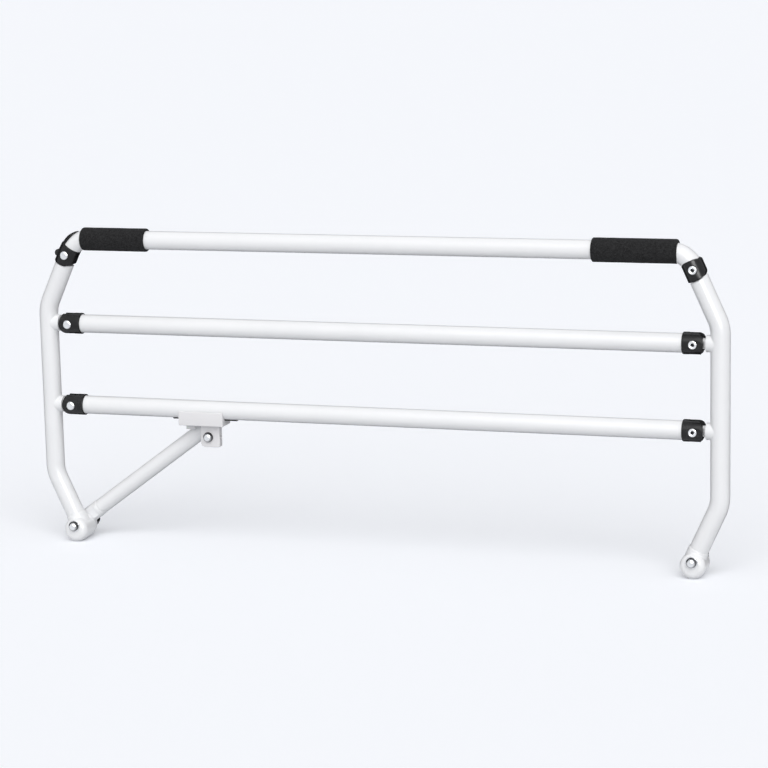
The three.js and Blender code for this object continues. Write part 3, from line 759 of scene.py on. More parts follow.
# White tongues that plug into the posts and stubs and turn between a sleeve's ears
tongues = {
    "halfThickness": 4.5,
    "halfHeight": 6.4,
    "plugLength": 14,
    "plugRims": (0.4, 0.6),
    "hole": 3.3,
    "edge": 0.5,
    "endSteps": 32,
    "postCutReach": 25.6,  # over and under the pivot
}


def makeTongue(node, pivot, along, outerRadius, upright=None):
    start = tubes["postEndSetback"]
    end = start + tongues["plugLength"]
    half = tongues["halfHeight"]
    thick = tongues["halfThickness"]
    plugRadius = outerRadius - tubes["wall"] - gap
    plug = barPiece(node + "_bar", [pivot, pivot + along], start + gap, end, plugRadius, tongues["plugRims"])
    root = pivot + along * (start + end) / 2
    middle = math.degrees(math.atan2(along.y, along.x))
    outline = [root + normalTo(along) * v for v in (-half, half)]
    outline += arcPoints(pivot, half, middle + 90, middle + 270, tongues["endSteps"])
    piece = joined(plug, easedEdges(platePiece("bar", outline, -thick, thick), tongues["edge"]))
    cutBy(piece, cylinderCut(pivot, tongues["hole"], -thick - overrun, thick + overrun))
    if upright is not None:
        reach = tongues["postCutReach"]
        room = [Vector((upright, pivot.y - reach)), Vector((upright, pivot.y + reach))]
        cutBy(piece, barPiece("cut", room, 0, lengthOf(room), tubes["postRadius"] + gap))
    dress(piece, node)


for name, side in ends.items():
    downPost = directionAt(postLine(side)[::-1], tongues["halfHeight"])
    makeTongue(name + "_top_tongue", topPivot(side), downPost, tubes["postRadius"])
    for level, height in levels.items():
        node = name + "_" + level + "_tongue"
        makeTongue(node, pivotAt(side, height), Vector((side, 0)), tubes["stubRadius"], side * halfSpacing)
print("tongues made")

# Moulded sleeves: closed round a rail's end, and slotted into two ears round the pivot
sleeves = {
    "radius": 14.4,
    "reach": {"left": 17.6, "right": 14.8},  # from the pivot to the plain end
    "elbowReach": {"left": 12.8, "right": 12.3},
    "elbowStraightness": {"left": 0.5, "right": 1},  # 1 is a straight barrel, 0 follows the bent rail
    "bulgeStart": {"left": 12.8, "right": 4},  # where the plain end starts to round over
    "bulgePower": 2.6,
    "rim": 1.3,
    "boreRadius": 12.8,
    "boreStart": 8.1,
    "slotHalfWidth": 4.9,
    "slotDepth": 6.8,
    "holeRadius": 3.3,
    "seatRadius": 6.3,
    "seatFace": 13.2,  # from the rail plane
    "edge": 0.4,
    "earEnd": 12.6,  # from the pivot
    "elbowEarEnd": 14.7,
    "earCurve": 28.5,  # radius of an ear's end
    "elbowEarCurve": 60,
    "swingRadius": 15,  # the post or stub swings past outside this
    "cornerPower": 26,  # higher leaves the ears' corners sharper
    "earSteps": 48,
}


# How far an ear reaches from the pivot; turn is from the end's direction, towards the outer side
def earReach(turn, end, curve):
    depth = curve - end
    limits = [math.sqrt(curve ** 2 - (depth * math.sin(turn)) ** 2) - depth * math.cos(turn)]
    limits.append((sleeves["radius"] + gap) / max(abs(math.sin(turn)), facets["least"]))
    if turn < 0:
        limits.append(sleeves["swingRadius"])
    power = sleeves["cornerPower"]
    return sum(limit ** -power for limit in limits) ** (-1 / power)


# Between the line and its straight first direction
def straightened(line, reach, share):
    along = directionAt(line, 0)
    distances = [reach * step for step in shares(sleeves["earSteps"])]
    return [pointAt(line, d).lerp(line[0] + along * d, share) for d in distances]


# The plain end, flat or rounded over from its start
def plainEnd(reach, start):
    wide = sleeves["radius"] + overrun
    if start == reach:
        return [(-wide, reach + overrun), (wide, reach + overrun)]
    power = sleeves["bulgePower"]
    places = []
    for step in shares(sleeves["earSteps"]):
        across = 2 * step - 1
        share = max(1 - abs(across) ** power, 0) ** (1 / power)
        places.append(((sleeves["radius"] + gap) * across, start + (reach - start) * share))
    return [(-wide, start)] + places + [(wide, start)]


def sleeveShape(name, line, reach, end, curve, straightness=1, bulgeStart=None):
    pivot = line[0]
    along = directionAt(line, 0)
    normal = normalTo(along)
    radius = sleeves["radius"]
    wide = radius + overrun
    slot = sleeves["slotHalfWidth"]
    barrel = straightened(line, reach + overrun, straightness)
    body = barPiece(name, barrel, -radius, reach, radius, (sleeves["rim"], sleeves["rim"]))
    kept = []
    for share in shares(sleeves["earSteps"]):
        turn = math.pi / 2 - math.pi * share
        kept.append(pivot + (normal * math.sin(turn) - along * math.cos(turn)) * earReach(turn, end, curve))
    kept.append(pivot - normal * wide)
    kept += [pivot + normal * across + along * far for across, far in plainEnd(reach, bulgeStart or reach)]
    kept.append(pivot + normal * wide)
    combined(body, [platePiece("ears", kept, -wide, wide)], "INTERSECT")
    return cutBy(
        body,
        barPiece("cut", line, sleeves["boreStart"], reach + overrun, sleeves["boreRadius"]),
        blockPiece("cut", pivot, along, (-wide, sleeves["slotDepth"]), (-wide, wide), (-slot, slot)),
        cylinderCut(pivot, sleeves["holeRadius"], -wide, wide),
        cylinderCut(pivot, sleeves["seatRadius"], -wide, -sleeves["seatFace"]),
        cylinderCut(pivot, sleeves["seatRadius"], sleeves["seatFace"], wide),
    )


def elbowSleeve(name):
    return sleeveShape(
        name + "_top_sleeve_moulding",
        topRailLine(ends[name]),
        sleeves["elbowReach"][name],
        sleeves["elbowEarEnd"],
        sleeves["elbowEarCurve"],
        sleeves["elbowStraightness"][name],
        sleeves["bulgeStart"][name],
    )


for name, side in ends.items():
    for level, height in levels.items():
        node = name + "_" + level + "_sleeve"
        shape = (sleeves["reach"][name], sleeves["earEnd"], sleeves["earCurve"])
        body = sleeveShape(node + "_moulding", levelLine(side, height), *shape)
        dress(easedEdges(body, sleeves["edge"]), node)
dress(easedEdges(elbowSleeve("right"), sleeves["edge"]), "right_top_sleeve")
print("sleeves made")

# Rivets: domed at the left end, hollow with rolled rims at the right
rivets = {
    "shank": 3,
    "seat": 13.5,  # from the rail plane
    "domeRadius": 6.2,
    "domeHeight": 3,
    "lip": 0.35,  # a dome's straight foot
    "rimRadius": 5.6,
    "rimRound": 1.3,
    "bore": 2.3,
    "mouth": ((0.9, 0.25), (0.2, 0.9), (0, 1.3)),  # out from the bore, and down from the rolled rim
    "domeSteps": 14,
    # Where the painted shade at a domed head's foot starts and ends
    "paintedShade": (0.8, 1.02),  # shares of a dome's radius
}


# Marks a painted shade that darkens a dome towards its foot, for the chrome
def markPaintedShade(piece, centre, radius, paintedShade):
    start, end = paintedShade
    values = []
    for vertex in piece.data.vertices:
        x, y, z = vertex.co / mm
        share = math.hypot(x - centre[0], z - centre[1]) / radius
        values.append(min(max((share - start) / (end - start), 0), 1))
    mark = piece.data.attributes.new("paintedShade", "FLOAT", "POINT")
    mark.data.foreach_set("value", values)
    return piece


def domeProfile(radius, height, lip, base):
    turns = quarterTurns(rivets["domeSteps"])
    return [(radius * math.sin(t), base - lip - (height - lip) * math.cos(t)) for t in turns]


def makeDomeRivet(node, pivot):
    radius = rivets["domeRadius"]
    seat = rivets["seat"]
    front = domeProfile(radius, rivets["domeHeight"], rivets["lip"], -seat)
    front += [(radius, -seat), (rivets["shank"], -seat)]
    head = turnedPiece(node + "_head", pivot, front + [(r, -y) for r, y in front[::-1]])
    dress(markPaintedShade(head, pivot, radius, rivets["paintedShade"]), node)


def makeHollowRivet(node, pivot):
    roll = rivets["rimRound"]
    middle = rivets["seat"] + roll
    rear = [(rivets["shank"], rivets["seat"])]
    for share in shares(rivets["domeSteps"]):
        turn = math.pi * share - math.pi / 2
        rear.append((rivets["rimRadius"] - roll + roll * math.cos(turn), middle + roll * math.sin(turn)))
    rear += [(rivets["bore"] + out, middle + roll - down) for out, down in rivets["mouth"]]
    front = [(r, -y) for r, y in rear[::-1]]
    dress(turnedPiece(node + "_head", pivot, front + rear, closed=True), node)


for name, makeRivet in (("left", makeDomeRivet), ("right", makeHollowRivet)):
    makeRivet(name + "_top_rivet", topPivot(ends[name]))
    for level, height in levels.items():
        makeRivet(name + "_" + level + "_rivet", pivotAt(ends[name], height))
print("rivets made")

# Foam grips on the top rail
grips = {
    "radius": 15.8,
    "bore": 12.8,
    "rims": (2.6, 1.4),  # at the elbow and at the inner end
    "bendEndX": 400.32,  # where the top rail's bend ends
    "lap": {"left": 9.7, "right": 12.2},  # over the bend
    "length": {"left": 94.2, "right": 111},
    "step": 1.5,
    "lump": 0.14,  # of the foam's uneven surface
    "lumpSize": 7,
    "lumpSink": 0.5,  # share of a lump that the whole skin lies lower
    "dropShares": ((1, 0), (0.66, 0.11), (0.33, 0.45), (0, 1)),  # how the bore follows the bend, over the lap
    "fill": 0.9,
}


# A ring of the foam's uneven skin
def foamRing(line, distance, radius):
    ring = []
    for x, y, z in roundRing(line, distance, radius):
        outward = Vector((0, y, z - line[0].y)).normalized()
        lump = grips["lump"] * (noise.noise(Vector((x, y, z)) / grips["lumpSize"]) - grips["lumpSink"])
        ring.append((x, y + outward.y * lump, z + outward.z * lump))
    return ring


def makeGrip(name, side):
    lap = grips["lap"][name]
    length = grips["length"][name]
    start = Vector((side * (grips["bendEndX"] + lap), layout["topRailHeight"]))
    line = [start, start + Vector((-side * length, 0))]
    between = [grips["rims"][0] + grips["step"]]
    while between[-1] + 2 * grips["step"] < length - grips["rims"][1]:
        between.append(between[-1] + grips["step"])
    run = rimmedRun(0, length, grips["radius"], grips["rims"], between)
    rings = [foamRing(line, d, r) for d, r in run]
    bend = min(topRailLine(side), key=lambda point: abs(point.x - start.x) + 2 * abs(point.y - start.y))
    drop = start.y - bend.y
    for lapShare, share in ((length / lap, 0), *grips["dropShares"]):
        bore = roundRing(line, lap * lapShare, grips["bore"])
        rings.append([(x, y, z - drop * share) for x, y, z in bore])
    node = name + "_grip"
    piece = ringPiece(node + "_foam", rings, closed=True)
    dress(piece, node)


for name, side in ends.items():
    makeGrip(name, side)
print("grips made")

# Cast feet, each with a socket for its post
feet = {
    "radius": 17,
    "flat": 0.5,
    "front": 20,
    "rear": 17.3,
    "frontEdge": 8.5,
    "rearEdge": 3,
    "edgeSteps": 12,
    "collarRadius": 13.8,
    "collarReach": 15.5,
    "collarRim": 2.2,
    "skin": 0.6,
    "skinPasses": 14,
    "stayEyeRear": 29.3,  # where the left nut sits, behind the stay's eye
}
# Dome-headed bolts
bolts = {
    "radius": 3.2,
    "tip": 0.6,
    "headRadius": 6.9,
    "headHeight": 6.5,
    "headLip": 0.5,
    "headFoot": 0.1,  # narrower under the head
    # Where the painted shade at a dome-headed bolt's foot starts and ends
    "paintedShade": (0.55, 0.95),  # shares of a dome's radius
    "washerRadius": 8,
    "washerFront": -20.7,
    "washerThickness": 1.2,
    "washerRecess": 0.8,
    "washerEdge": 0.35,
}
# Round fluted nuts behind the feet
footNuts = {
    "radius": 14.2,
    "thickness": 8,
    "edge": 2,
    "skin": 1.6,
    "boreEase": 0.5,
    "flatShare": 0.55,
    "dishShare": 0.5,
    "dish": 0.6,
    "flutes": 12,
    "fluteDepth": 0.7,
    "fluteShare": 0.8,  # of the radius, where the flutes start
    "facets": 144,
}
boltBore = bolts["radius"] + gap
nutSeats = {"left": feet["stayEyeRear"], "right": feet["rear"]}


def floorCut():
    wide = layout["postSpacing"]
    drop = feet["radius"] * 2
    return blockPiece("cut", Vector((0, 0)), Vector((1, 0)), (-wide, wide), (-drop, 0), (-wide / 4, wide / 4))


def bossPiece(name, side, front, rear, edges, radius=feet["radius"]):
    centre = Vector((side * layout["pivotX"], feet["radius"] - feet["flat"]))
    near, far = edges
    turns = quarterTurns(feet["edgeSteps"])
    profile = [(radius - near * (1 - math.sin(t)), front + near * (1 - math.cos(t))) for t in turns]
    profile += [(radius - far * (1 - math.cos(t)), rear - far * (1 - math.sin(t))) for t in turns]
    return turnedPiece(name, centre, [(0, front)] + profile + [(0, rear)])


def makeFoot(name, side):
    line = postLine(side)
    pivot = footPivot(side)
    front = -feet["front"]
    reach = feet["collarReach"]
    edges = (feet["frontEdge"], feet["rearEdge"])
    body = bossPiece(name + "_foot_casting", side, front, feet["rear"], edges)
    rims = (facets["least"], feet["collarRim"])
    joined(body, barPiece("collar", line, 0, reach, feet["collarRadius"], rims))
    castSkin(body, feet["skin"], feet["skinPasses"])
    cutBy(
        body,
        floorCut(),
        barPiece("cut", line, tubes["socketStart"], reach + overrun, tubes["postRadius"] + gap),
        cylinderCut(pivot, boltBore, front - overrun, feet["rear"] + overrun),
        cylinderCut(pivot, bolts["washerRadius"] + gap, front - overrun, front + bolts["washerRecess"]),
    )
    dress(body, name + "_foot")


def makeDomeBolt(node, pivot, face, end):
    radius = bolts["radius"]
    tip = bolts["tip"]
    profile = domeProfile(bolts["headRadius"], bolts["headHeight"], bolts["headLip"], face)
    profile += [(bolts["headRadius"] - bolts["headFoot"], face), (radius, face)]
    profile += [(radius, end - tip), (radius - tip, end), (0, end)]
    dome = turnedPiece(node + "_dome", pivot, profile)
    dress(markPaintedShade(dome, pivot, bolts["headRadius"], bolts["paintedShade"]), node)


# A ring round a bolt
def makeRing(node, pivot, outer, near, far, edge):
    ring = [(boltBore, near), (outer, near), (outer, far), (boltBore, far)]
    dress(turnedPiece(node + "_ring", pivot, eased(ring, edge, closed=True), closed=True), node)


def makeFootBolt(name, side):
    near = bolts["washerFront"]
    far = near + bolts["washerThickness"]
    end = nutSeats[name] + footNuts["thickness"] - footNuts["skin"]
    makeDomeBolt(name + "_foot_bolt", footPivot(side), near - gap, end)
    makeRing(name + "_foot_washer", footPivot(side), bolts["washerRadius"], near, far, bolts["washerEdge"])


def makeFootNut(name, side):
    front = nutSeats[name] + gap
    rear = front + footNuts["thickness"]
    hole = rear - footNuts["skin"]
    dish = rear - footNuts["dish"]
    radius = footNuts["radius"]
    corners = [(boltBore + footNuts["boreEase"], front), (radius, front), (radius, rear)]
    corners.append((radius * footNuts["flatShare"], rear))
    profile = [(0, hole), (boltBore, hole), (boltBore, front)] + eased(corners, footNuts["edge"])
    profile += [(radius * footNuts["dishShare"], dish), (0, dish)]

    def fluted(turn, reach):
        if reach < radius * footNuts["fluteShare"]:
            return reach
        return reach - footNuts["fluteDepth"] * max(0, math.cos(turn * footNuts["flutes"])) ** 2

    node = name + "_foot_nut"
    dress(turnedPiece(node + "_cap", footPivot(side), profile, shape=fluted, count=footNuts["facets"]), node)


for name, side in ends.items():
    makeFoot(name, side)
    makeFootBolt(name, side)
    makeFootNut(name, side)
print("feet made")

# The stay: a tube in its own plane behind the rails, from the left foot bolt to the saddle's pin
stay = {
    "radius": 10.8,
    "pinAcross": 198,
    "pinHeight": 153.9,
    "axisOverBolt": 2.5,
    "axisOverPin": 14.2,
    "plane": 25.6,
    "front": 14.8,
    "footSweep": 23.8,
    "eyeFront": 17.6,
    "eyeRadius": 13.4,
    "eyeEdge": 2,
    "skinPasses": 6,
    "collarRadius": 11.4,
    "collarEnd": 28.4,
    "collarRim": 0.5,
    "plugRadius": 9.1,
    "plugLength": 14,
    "plugRim": 0.8,
    "tubeSetback": 10,
    "capThickness": 3,
    "capRim": 0.4,
    "capSkin": 0.5,
    "tabRear": 20.8,
    "tabRadius": 8.4,
    "tabSteps": 28,
    "edge": 0.5,
}
stayBolt = footPivot(left)
stayPin = Vector((stayBolt.x + stay["pinAcross"], stay["pinHeight"]))
stayRise = stayPin - stayBolt
stayTurn = math.atan2(stayRise.y, stayRise.x)
stayTurn += math.asin((stay["axisOverPin"] - stay["axisOverBolt"]) / stayRise.length)
stayAlong = Vector((math.cos(stayTurn), math.sin(stayTurn)))
stayPinDistance = stayRise.dot(stayAlong)
stayTubeEnd = stayPinDistance - stay["tubeSetback"]


def onStay(distance, over):
    return stayBolt + stayAlong * distance + normalTo(stayAlong) * (stay["axisOverBolt"] + over)


def stayLine(start, end):
    return [onStay(start, 0), onStay(end, 0)]


def stayBar(name, start, end, radius, rims):
    return barPiece(name, stayLine(start, end), 0, end - start, radius, rims, stay["plane"])


def makeStayTube():
    line = stayLine(stay["collarEnd"] + gap, stayTubeEnd)
    dress(tubePiece("stay_tube_bar", line, 0, lengthOf(line), stay["radius"], stay["plane"]), "stay_tube")


def makeStayFoot():
    rear = stay["plane"] + stay["radius"] + overrun
    eyeRear = feet["stayEyeRear"]
    edges = (stay["eyeEdge"], stay["eyeEdge"])
    plugStart = stay["collarEnd"] - overrun
    plugEnd = stay["collarEnd"] + stay["plugLength"]
    body = bossPiece("stay_foot_casting", left, stay["eyeFront"], eyeRear, edges, stay["eyeRadius"])
    rims = (facets["least"], stay["collarRim"])
    joined(body, stayBar("neck", 0, stay["collarEnd"], stay["collarRadius"], rims))
    cutBy(body, cylinderCut(stayBolt, footNuts["radius"] + 2 * gap, eyeRear, rear))
    castSkin(body, feet["skin"], stay["skinPasses"])
    cutBy(body, cylinderCut(stayBolt, stay["footSweep"], -overrun, stay["eyeFront"]))
    joined(body, stayBar("plug", plugStart, plugEnd, stay["plugRadius"], (facets["least"], stay["plugRim"])))
    cutBy(body, floorCut(), cylinderCut(stayBolt, boltBore, 0, rear))
    dress(body, "stay_foot_fitting")


def makeStayTop():
    capStart = stayTubeEnd + gap
    capEnd = capStart + stay["capThickness"]
    plugStart = stayTubeEnd - stay["plugLength"]
    plugEnd = capEnd - stay["capSkin"]
    radius = stay["radius"]
    turn = math.degrees(stayTurn)
    outline = [onStay(capStart, stay["plugRadius"]), onStay(capStart, -radius)]
    outline += arcPoints(stayPin, stay["tabRadius"], turn + 180, turn + 360, stay["tabSteps"])
    outline += [onStay(stayPinDistance + stay["tabRadius"], -radius), onStay(capEnd, stay["plugRadius"])]
    tab = easedEdges(platePiece("stay_top_steel", outline, stay["front"], stay["tabRear"]), stay["edge"])
    joined(tab, stayBar("cap", capStart, capEnd, radius, (stay["capRim"], stay["capRim"])))
    joined(tab, stayBar("plug", plugStart, plugEnd, stay["plugRadius"], (stay["plugRim"], facets["least"])))
    cutBy(tab, cylinderCut(stayPin, boltBore, 0, stay["tabRear"] + overrun))
    dress(tab, "stay_top_fitting")


makeStayTube()
makeStayFoot()
makeStayTop()
print("stay made")

# Cast saddle under the lower rail, with its lug, wear strip and bolt; left and right are from the pin
saddle = {
    "left": 38,
    "right": 26.2,
    "halfDepth": 14.5,
    "top": 1.2,  # under the rail's axis
    "bottom": 20.5,
    "edge": 1.1,
    "edgeSteps": 4,
    "lugLeft": 11.2,
    "lugRight": 16.2,
    "lugDrop": 14,
    "lugFront": 2,
    "lugRear": 8,
    "lugRoot": 2,  # up into the saddle
    "lugCorner": 6,
    "lugCornerSteps": (12, 10),
    "lugEdge": 0.8,
    "gussetRear": 12.8,
    "gussetDrop": 11,
    "gussetInset": 1.2,
    "gussetRoot": 1,
    "holeRadius": 2.5,
    "holeDepth": 5,
    "holePlane": 3,
    "trough": 13.3,  # its bore round the rail
    "linerInner": 12.8,
    "linerOuter": 14,
    "linerHalfWidth": 5.2,
    "linerLeft": 49.4,
    "linerRight": 42.4,
    "linerSteps": 24,
    "linerEdge": 0.3,
    "linerTips": ((0, 0.93), (0.6, 1)),  # from an end, and the share of its width there
    "spacerRadius": 5.4,
    "spacerEdge": 0.4,
    "nutRadius": 6,
    "nutThickness": 5,
    "nutEase": 0.6,
    "nutBoreEase": 0.3,
    "nutFacets": 72,
}
button = {
    "left": 36.6,  # from the pin
    "length": 13,
    "front": 8.7,
    "thickness": 3.4,
    "drop": 9.6,
    "depth": 4.3,
    "pocketCeiling": 7.5,
    "edge": 0.6,
    "ribs": 3,
    "ribStart": 1.4,
    "ribInset": 1.5,
    "ribWidth": 0.9,
    "ribDepth": 0.45,
    "springRadius": 1.4,
    "springHeight": 2.6,
    "springWire": 0.22,
    "springTurns": 5,
    "springSteps": 24,
    "springKeep": 0.2,
}
saddleUnderside = layout["lowRailHeight"] - saddle["bottom"]
buttonStart = stayPin.x - button["left"]
buttonEnd = buttonStart + button["length"]


def makeLug(start, end):
    root = saddleUnderside + saddle["lugRoot"]
    bottom = stayPin.y - saddle["lugDrop"]
    corner = saddle["lugCorner"]
    small = corner / 2
    steps, smallSteps = saddle["lugCornerSteps"]
    outline = [Vector((end, root)), Vector((start, root))]
    outline += arcPoints((start + corner, bottom + corner), corner, 180, 270, steps)
    outline += arcPoints((end - small, bottom + small), small, 270, 360, smallSteps)
    return easedEdges(platePiece("lug", outline, -saddle["lugFront"], saddle["lugRear"]), saddle["lugEdge"])


def makeGusset(start, end):
    rear = saddle["lugRear"] - saddle["gussetRoot"]
    wedge = [(rear, saddleUnderside - saddle["gussetDrop"]), (saddle["gussetRear"], saddleUnderside)]
    wedge.append((rear, saddleUnderside + saddle["lugRoot"]))
    inset = saddle["gussetInset"]
    return ringPiece("gusset", [[(x, y, z) for y, z in wedge] for x in (start + inset, end - inset)])


def makeSaddle():
    rail = layout["lowRailHeight"]
    start = stayPin.x - saddle["left"]
    end = stayPin.x + saddle["right"]
    half = saddle["halfDepth"]
    block = rectangle((start, saddleUnderside), (end, rail - saddle["top"]))
    body = easedEdges(platePiece("saddle_casting", block, -half, half), saddle["edge"], saddle["edgeSteps"])
    lugStart = stayPin.x - saddle["lugLeft"]
    lugEnd = stayPin.x + saddle["lugRight"]
    joined(body, makeLug(lugStart, lugEnd))
    joined(body, makeGusset(lugStart, lugEnd))
    along = [Vector((start - overrun, rail)), Vector((end + overrun, rail))]
    length = lengthOf(along)
    strip = saddle["linerHalfWidth"] + gap
    linerRoom = barPiece("room", along, 0, length, saddle["linerOuter"] + gap)
    low = blockPiece("low", along[0], Vector((1, 0)), (0, length), (-saddle["bottom"], 0), (-strip, strip))
    combined(linerRoom, [low], "INTERSECT")
    pocketTop = saddleUnderside + button["pocketCeiling"]
    pocket = rectangle((buttonStart - gap, saddleUnderside - overrun), (buttonEnd + gap, pocketTop))
    pocketRear = button["front"] + button["thickness"] + gap
    hole = [Vector((lugEnd - saddle["holeDepth"], stayPin.y)), Vector((lugEnd + overrun, stayPin.y))]
    cutBy(
        body,
        barPiece("cut", along, 0, length, saddle["trough"]),
        linerRoom,
        platePiece("cut", pocket, button["front"] - gap, pocketRear),
        cylinderCut(stayPin, boltBore, -half, half),
        barPiece("cut", hole, 0, lengthOf(hole), saddle["holeRadius"], plane=saddle["holePlane"]),
    )
    dress(body, "saddle")


def makeLiner():
    outline = []
    for radius, direction in ((saddle["linerOuter"], 1), (saddle["linerInner"], -1)):
        spread = direction * math.asin(saddle["linerHalfWidth"] / radius)
        turns = [spread * (2 * share - 1) for share in shares(saddle["linerSteps"])]
        outline += [(radius * math.sin(turn), -radius * math.cos(turn)) for turn in turns]
    outline = eased(outline, saddle["linerEdge"], closed=True)
    tips = saddle["linerTips"]
    places = [(stayPin.x - saddle["linerLeft"] + inset, share) for inset, share in tips]
    places += [(stayPin.x + saddle["linerRight"] - inset, share) for inset, share in tips[::-1]]
    rings = [[(x, y * share, layout["lowRailHeight"] + z) for y, z in outline] for x, share in places]
    dress(ringPiece("saddle_liner_strip", rings), "saddle_liner")


def makeButton():
    low = saddleUnderside - button["drop"]
    front = button["front"]
    rear = front + button["thickness"]
    outline = rectangle((buttonStart, low), (buttonEnd, saddleUnderside + button["depth"]))
    body = easedEdges(platePiece("latch_button_moulding", outline, front, rear), button["edge"])
    inset = button["ribInset"]
    deep = button["ribDepth"]
    for k in range(button["ribs"]):
        z = low + button["ribStart"] + k * 2 * button["ribWidth"]
        groove = rectangle((buttonStart + inset, z), (buttonEnd - inset, z + button["ribWidth"]))
        for near, far in ((front - overrun, front + deep), (rear - deep, rear + overrun)):
            cutBy(body, platePiece("cut", groove, near, far))
    dress(body, "latch_button")


def makeButtonSpring():
    thick = button["springWire"]
    x = (buttonStart + buttonEnd) / 2
    y = button["front"] + button["thickness"] / 2
    base = saddleUnderside + button["depth"] + gap
    reach = button["springRadius"] - thick
    length = button["springHeight"] - 2 * thick
    coil = coilPoints(reach, length, button["springTurns"], button["springSteps"])
    points = [(x + across, y + back, base + thick + rise) for across, back, rise in coil]
    spring = dress(wirePiece("latch_spring_coil", points, thick), "latch_spring")
    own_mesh(spring)


def makeSaddlePin():
    nutNear = stay["tabRear"] + gap
    nutFar = nutNear + saddle["nutThickness"]
    makeDomeBolt("saddle_pin_bolt", stayPin, -saddle["lugFront"] - gap, nutFar)
    near = saddle["lugRear"] + gap
    far = stay["front"] - gap
    makeRing("saddle_pin_spacer", stayPin, saddle["spacerRadius"], near, far, saddle["spacerEdge"])
    tip = saddle["nutRadius"]
    flat = tip * math.cos(math.pi / 6)
    inner = saddle["nutBoreEase"]
    ease = saddle["nutEase"]
    nut = [(boltBore, nutNear + inner), (boltBore + inner, nutNear), (flat, nutNear), (tip, nutNear + ease)]
    nut += [(tip, nutFar - ease), (flat, nutFar), (boltBore + inner, nutFar), (boltBore, nutFar - inner)]

    def hexagon(turn, reach):
        return min(reach, flat / math.cos(turn % (math.pi / 3) - math.pi / 6))

    node = "saddle_pin_nut"
    hexPiece = turnedPiece(node + "_hex", stayPin, nut, closed=True, shape=hexagon, count=saddle["nutFacets"])
    dress(hexPiece, node)


makeSaddle()
makeLiner()
makeButton()
makeButtonSpring()
makeSaddlePin()
print("saddle made")

# The release lever, on the outer side of the left elbow, and the sleeve that carries it
lever = {
    "hubRadius": 4.9,
    "hubOffset": 11.9,
    "hubBack": 2.1,
    "hubEdge": 0.6,
    "pinRadius": 1.7,
    "pinReach": 7.2,
    "pinEnd": ((0, 0), (0.55, 0.08), (1, 0.55)),  # shares of the radius, and how far from the end
    "pinEdge": 0.3,
    "inner": 12.8,
    "thickness": 1.7,
    "tipThickness": 0.9,
    "halfWidth": 11.15,
    "tipHalfWidth": 2.75,
    "tipGap": 2.7,
    "tipStartShare": 0.9,  # where the tip rounds off
    "tipLeastShare": 0.06,
    "shellLead": 1.3,  # the sleeve's end leans back here
    "bulge": 0.9,  # extra thickness half way
    "taper": 2.4,  # higher keeps the shell wide for longer
    "bossRadius": 4.9,
    "bossReach": 8.2,
    "bossEdge": 1.2,
    "webHalfWidth": 4.3,
    "webArc": 3.45,
    "webSteps": 8,
    "springWidth": 2.6,
    "springWire": 0.42,
    "springTurns": 3,
    "springSteps": 32,
    "springGap": 1.05,
    "steps": 22,
    "outlineSteps": 20,
    "capSteps": 5,
}
elbowLine = topRailLine(left)
elbowAlong = directionAt(elbowLine, 0)
leverHub = topPivot(left) + normalTo(elbowAlong) * lever["hubOffset"] - elbowAlong * lever["hubBack"]


# A thin arc round the elbow's outer side, with rounded edges
def shellOutline(thickness, halfWidth):
    inner = lever["inner"]
    outer = inner + thickness
    middle = inner + thickness / 2
    half = math.asin(min(halfWidth / outer, 1))
    arc = [half * (2 * share - 1) for share in shares(lever["outlineSteps"])]
    caps = []
    for share in shares(lever["capSteps"])[1:-1]:
        cap = math.pi * share
        caps.append((middle + thickness / 2 * math.cos(cap), half + thickness / 2 * math.sin(cap) / middle))
    outline = [(outer, turn) for turn in arc] + caps
    outline += [(inner, turn) for turn in arc[::-1]] + [(radius, -turn) for radius, turn in caps[::-1]]
    return [(-radius * math.cos(turn), -radius * math.sin(turn)) for radius, turn in outline]


# Where the lever's tip ends, short of the grip
def elbowTipDistance():
    bendEnd = layout["elbowLead"] + elbowBendRadius * (math.pi / 2 - slant)
    return bendEnd - grips["lap"]["left"] - lever["tipGap"]


def makeLeverShell(start, tip):
    tipStart = lever["tipStartShare"]
    rings = []
    for share in shares(lever["steps"]):
        thickness = lever["thickness"] + (lever["tipThickness"] - lever["thickness"]) * share ** 2
        thickness += lever["bulge"] * math.sin(math.pi * share)
        half = lever["halfWidth"] + (lever["tipHalfWidth"] - lever["halfWidth"]) * share ** lever["taper"]
        if share > tipStart:
            end = (share - tipStart) / (1 - tipStart)
            half *= math.sqrt(max(1 - end ** 2, lever["tipLeastShare"]))
        rings.append(ringAt(elbowLine, start + (tip - start) * share, shellOutline(thickness, half)))
    return ringPiece("release_lever_moulding", rings)


def makeLeverWeb(start, end):
    outline = shellOutline(lever["thickness"], lever["webArc"])
    places = [start + (end - start) * share for share in shares(lever["webSteps"])]
    return ringPiece("web", [ringAt(elbowLine, place, outline) for place in places])


def makeLever():
    start = sleeves["elbowReach"]["left"] + gap - lever["shellLead"]
    body = makeLeverShell(start, elbowTipDistance())
    joined(body, makeLeverWeb(-lever["hubBack"], start + lever["thickness"]))
    front = -lever["webHalfWidth"]
    rear = lever["webHalfWidth"] - lever["springWidth"] - gap
    radius = lever["hubRadius"]
    cutBy(body, cylinderCut(leverHub, radius + gap, rear, lever["webHalfWidth"] + overrun))
    hub = eased([(0, front), (radius, front), (radius, rear), (0, rear)], lever["hubEdge"])
    joined(body, turnedPiece("hub", leverHub, hub))
    cutBy(body, cylinderCut(leverHub, lever["pinRadius"] + gap, -sleeves["radius"], sleeves["radius"]))
    dress(body, "release_lever")


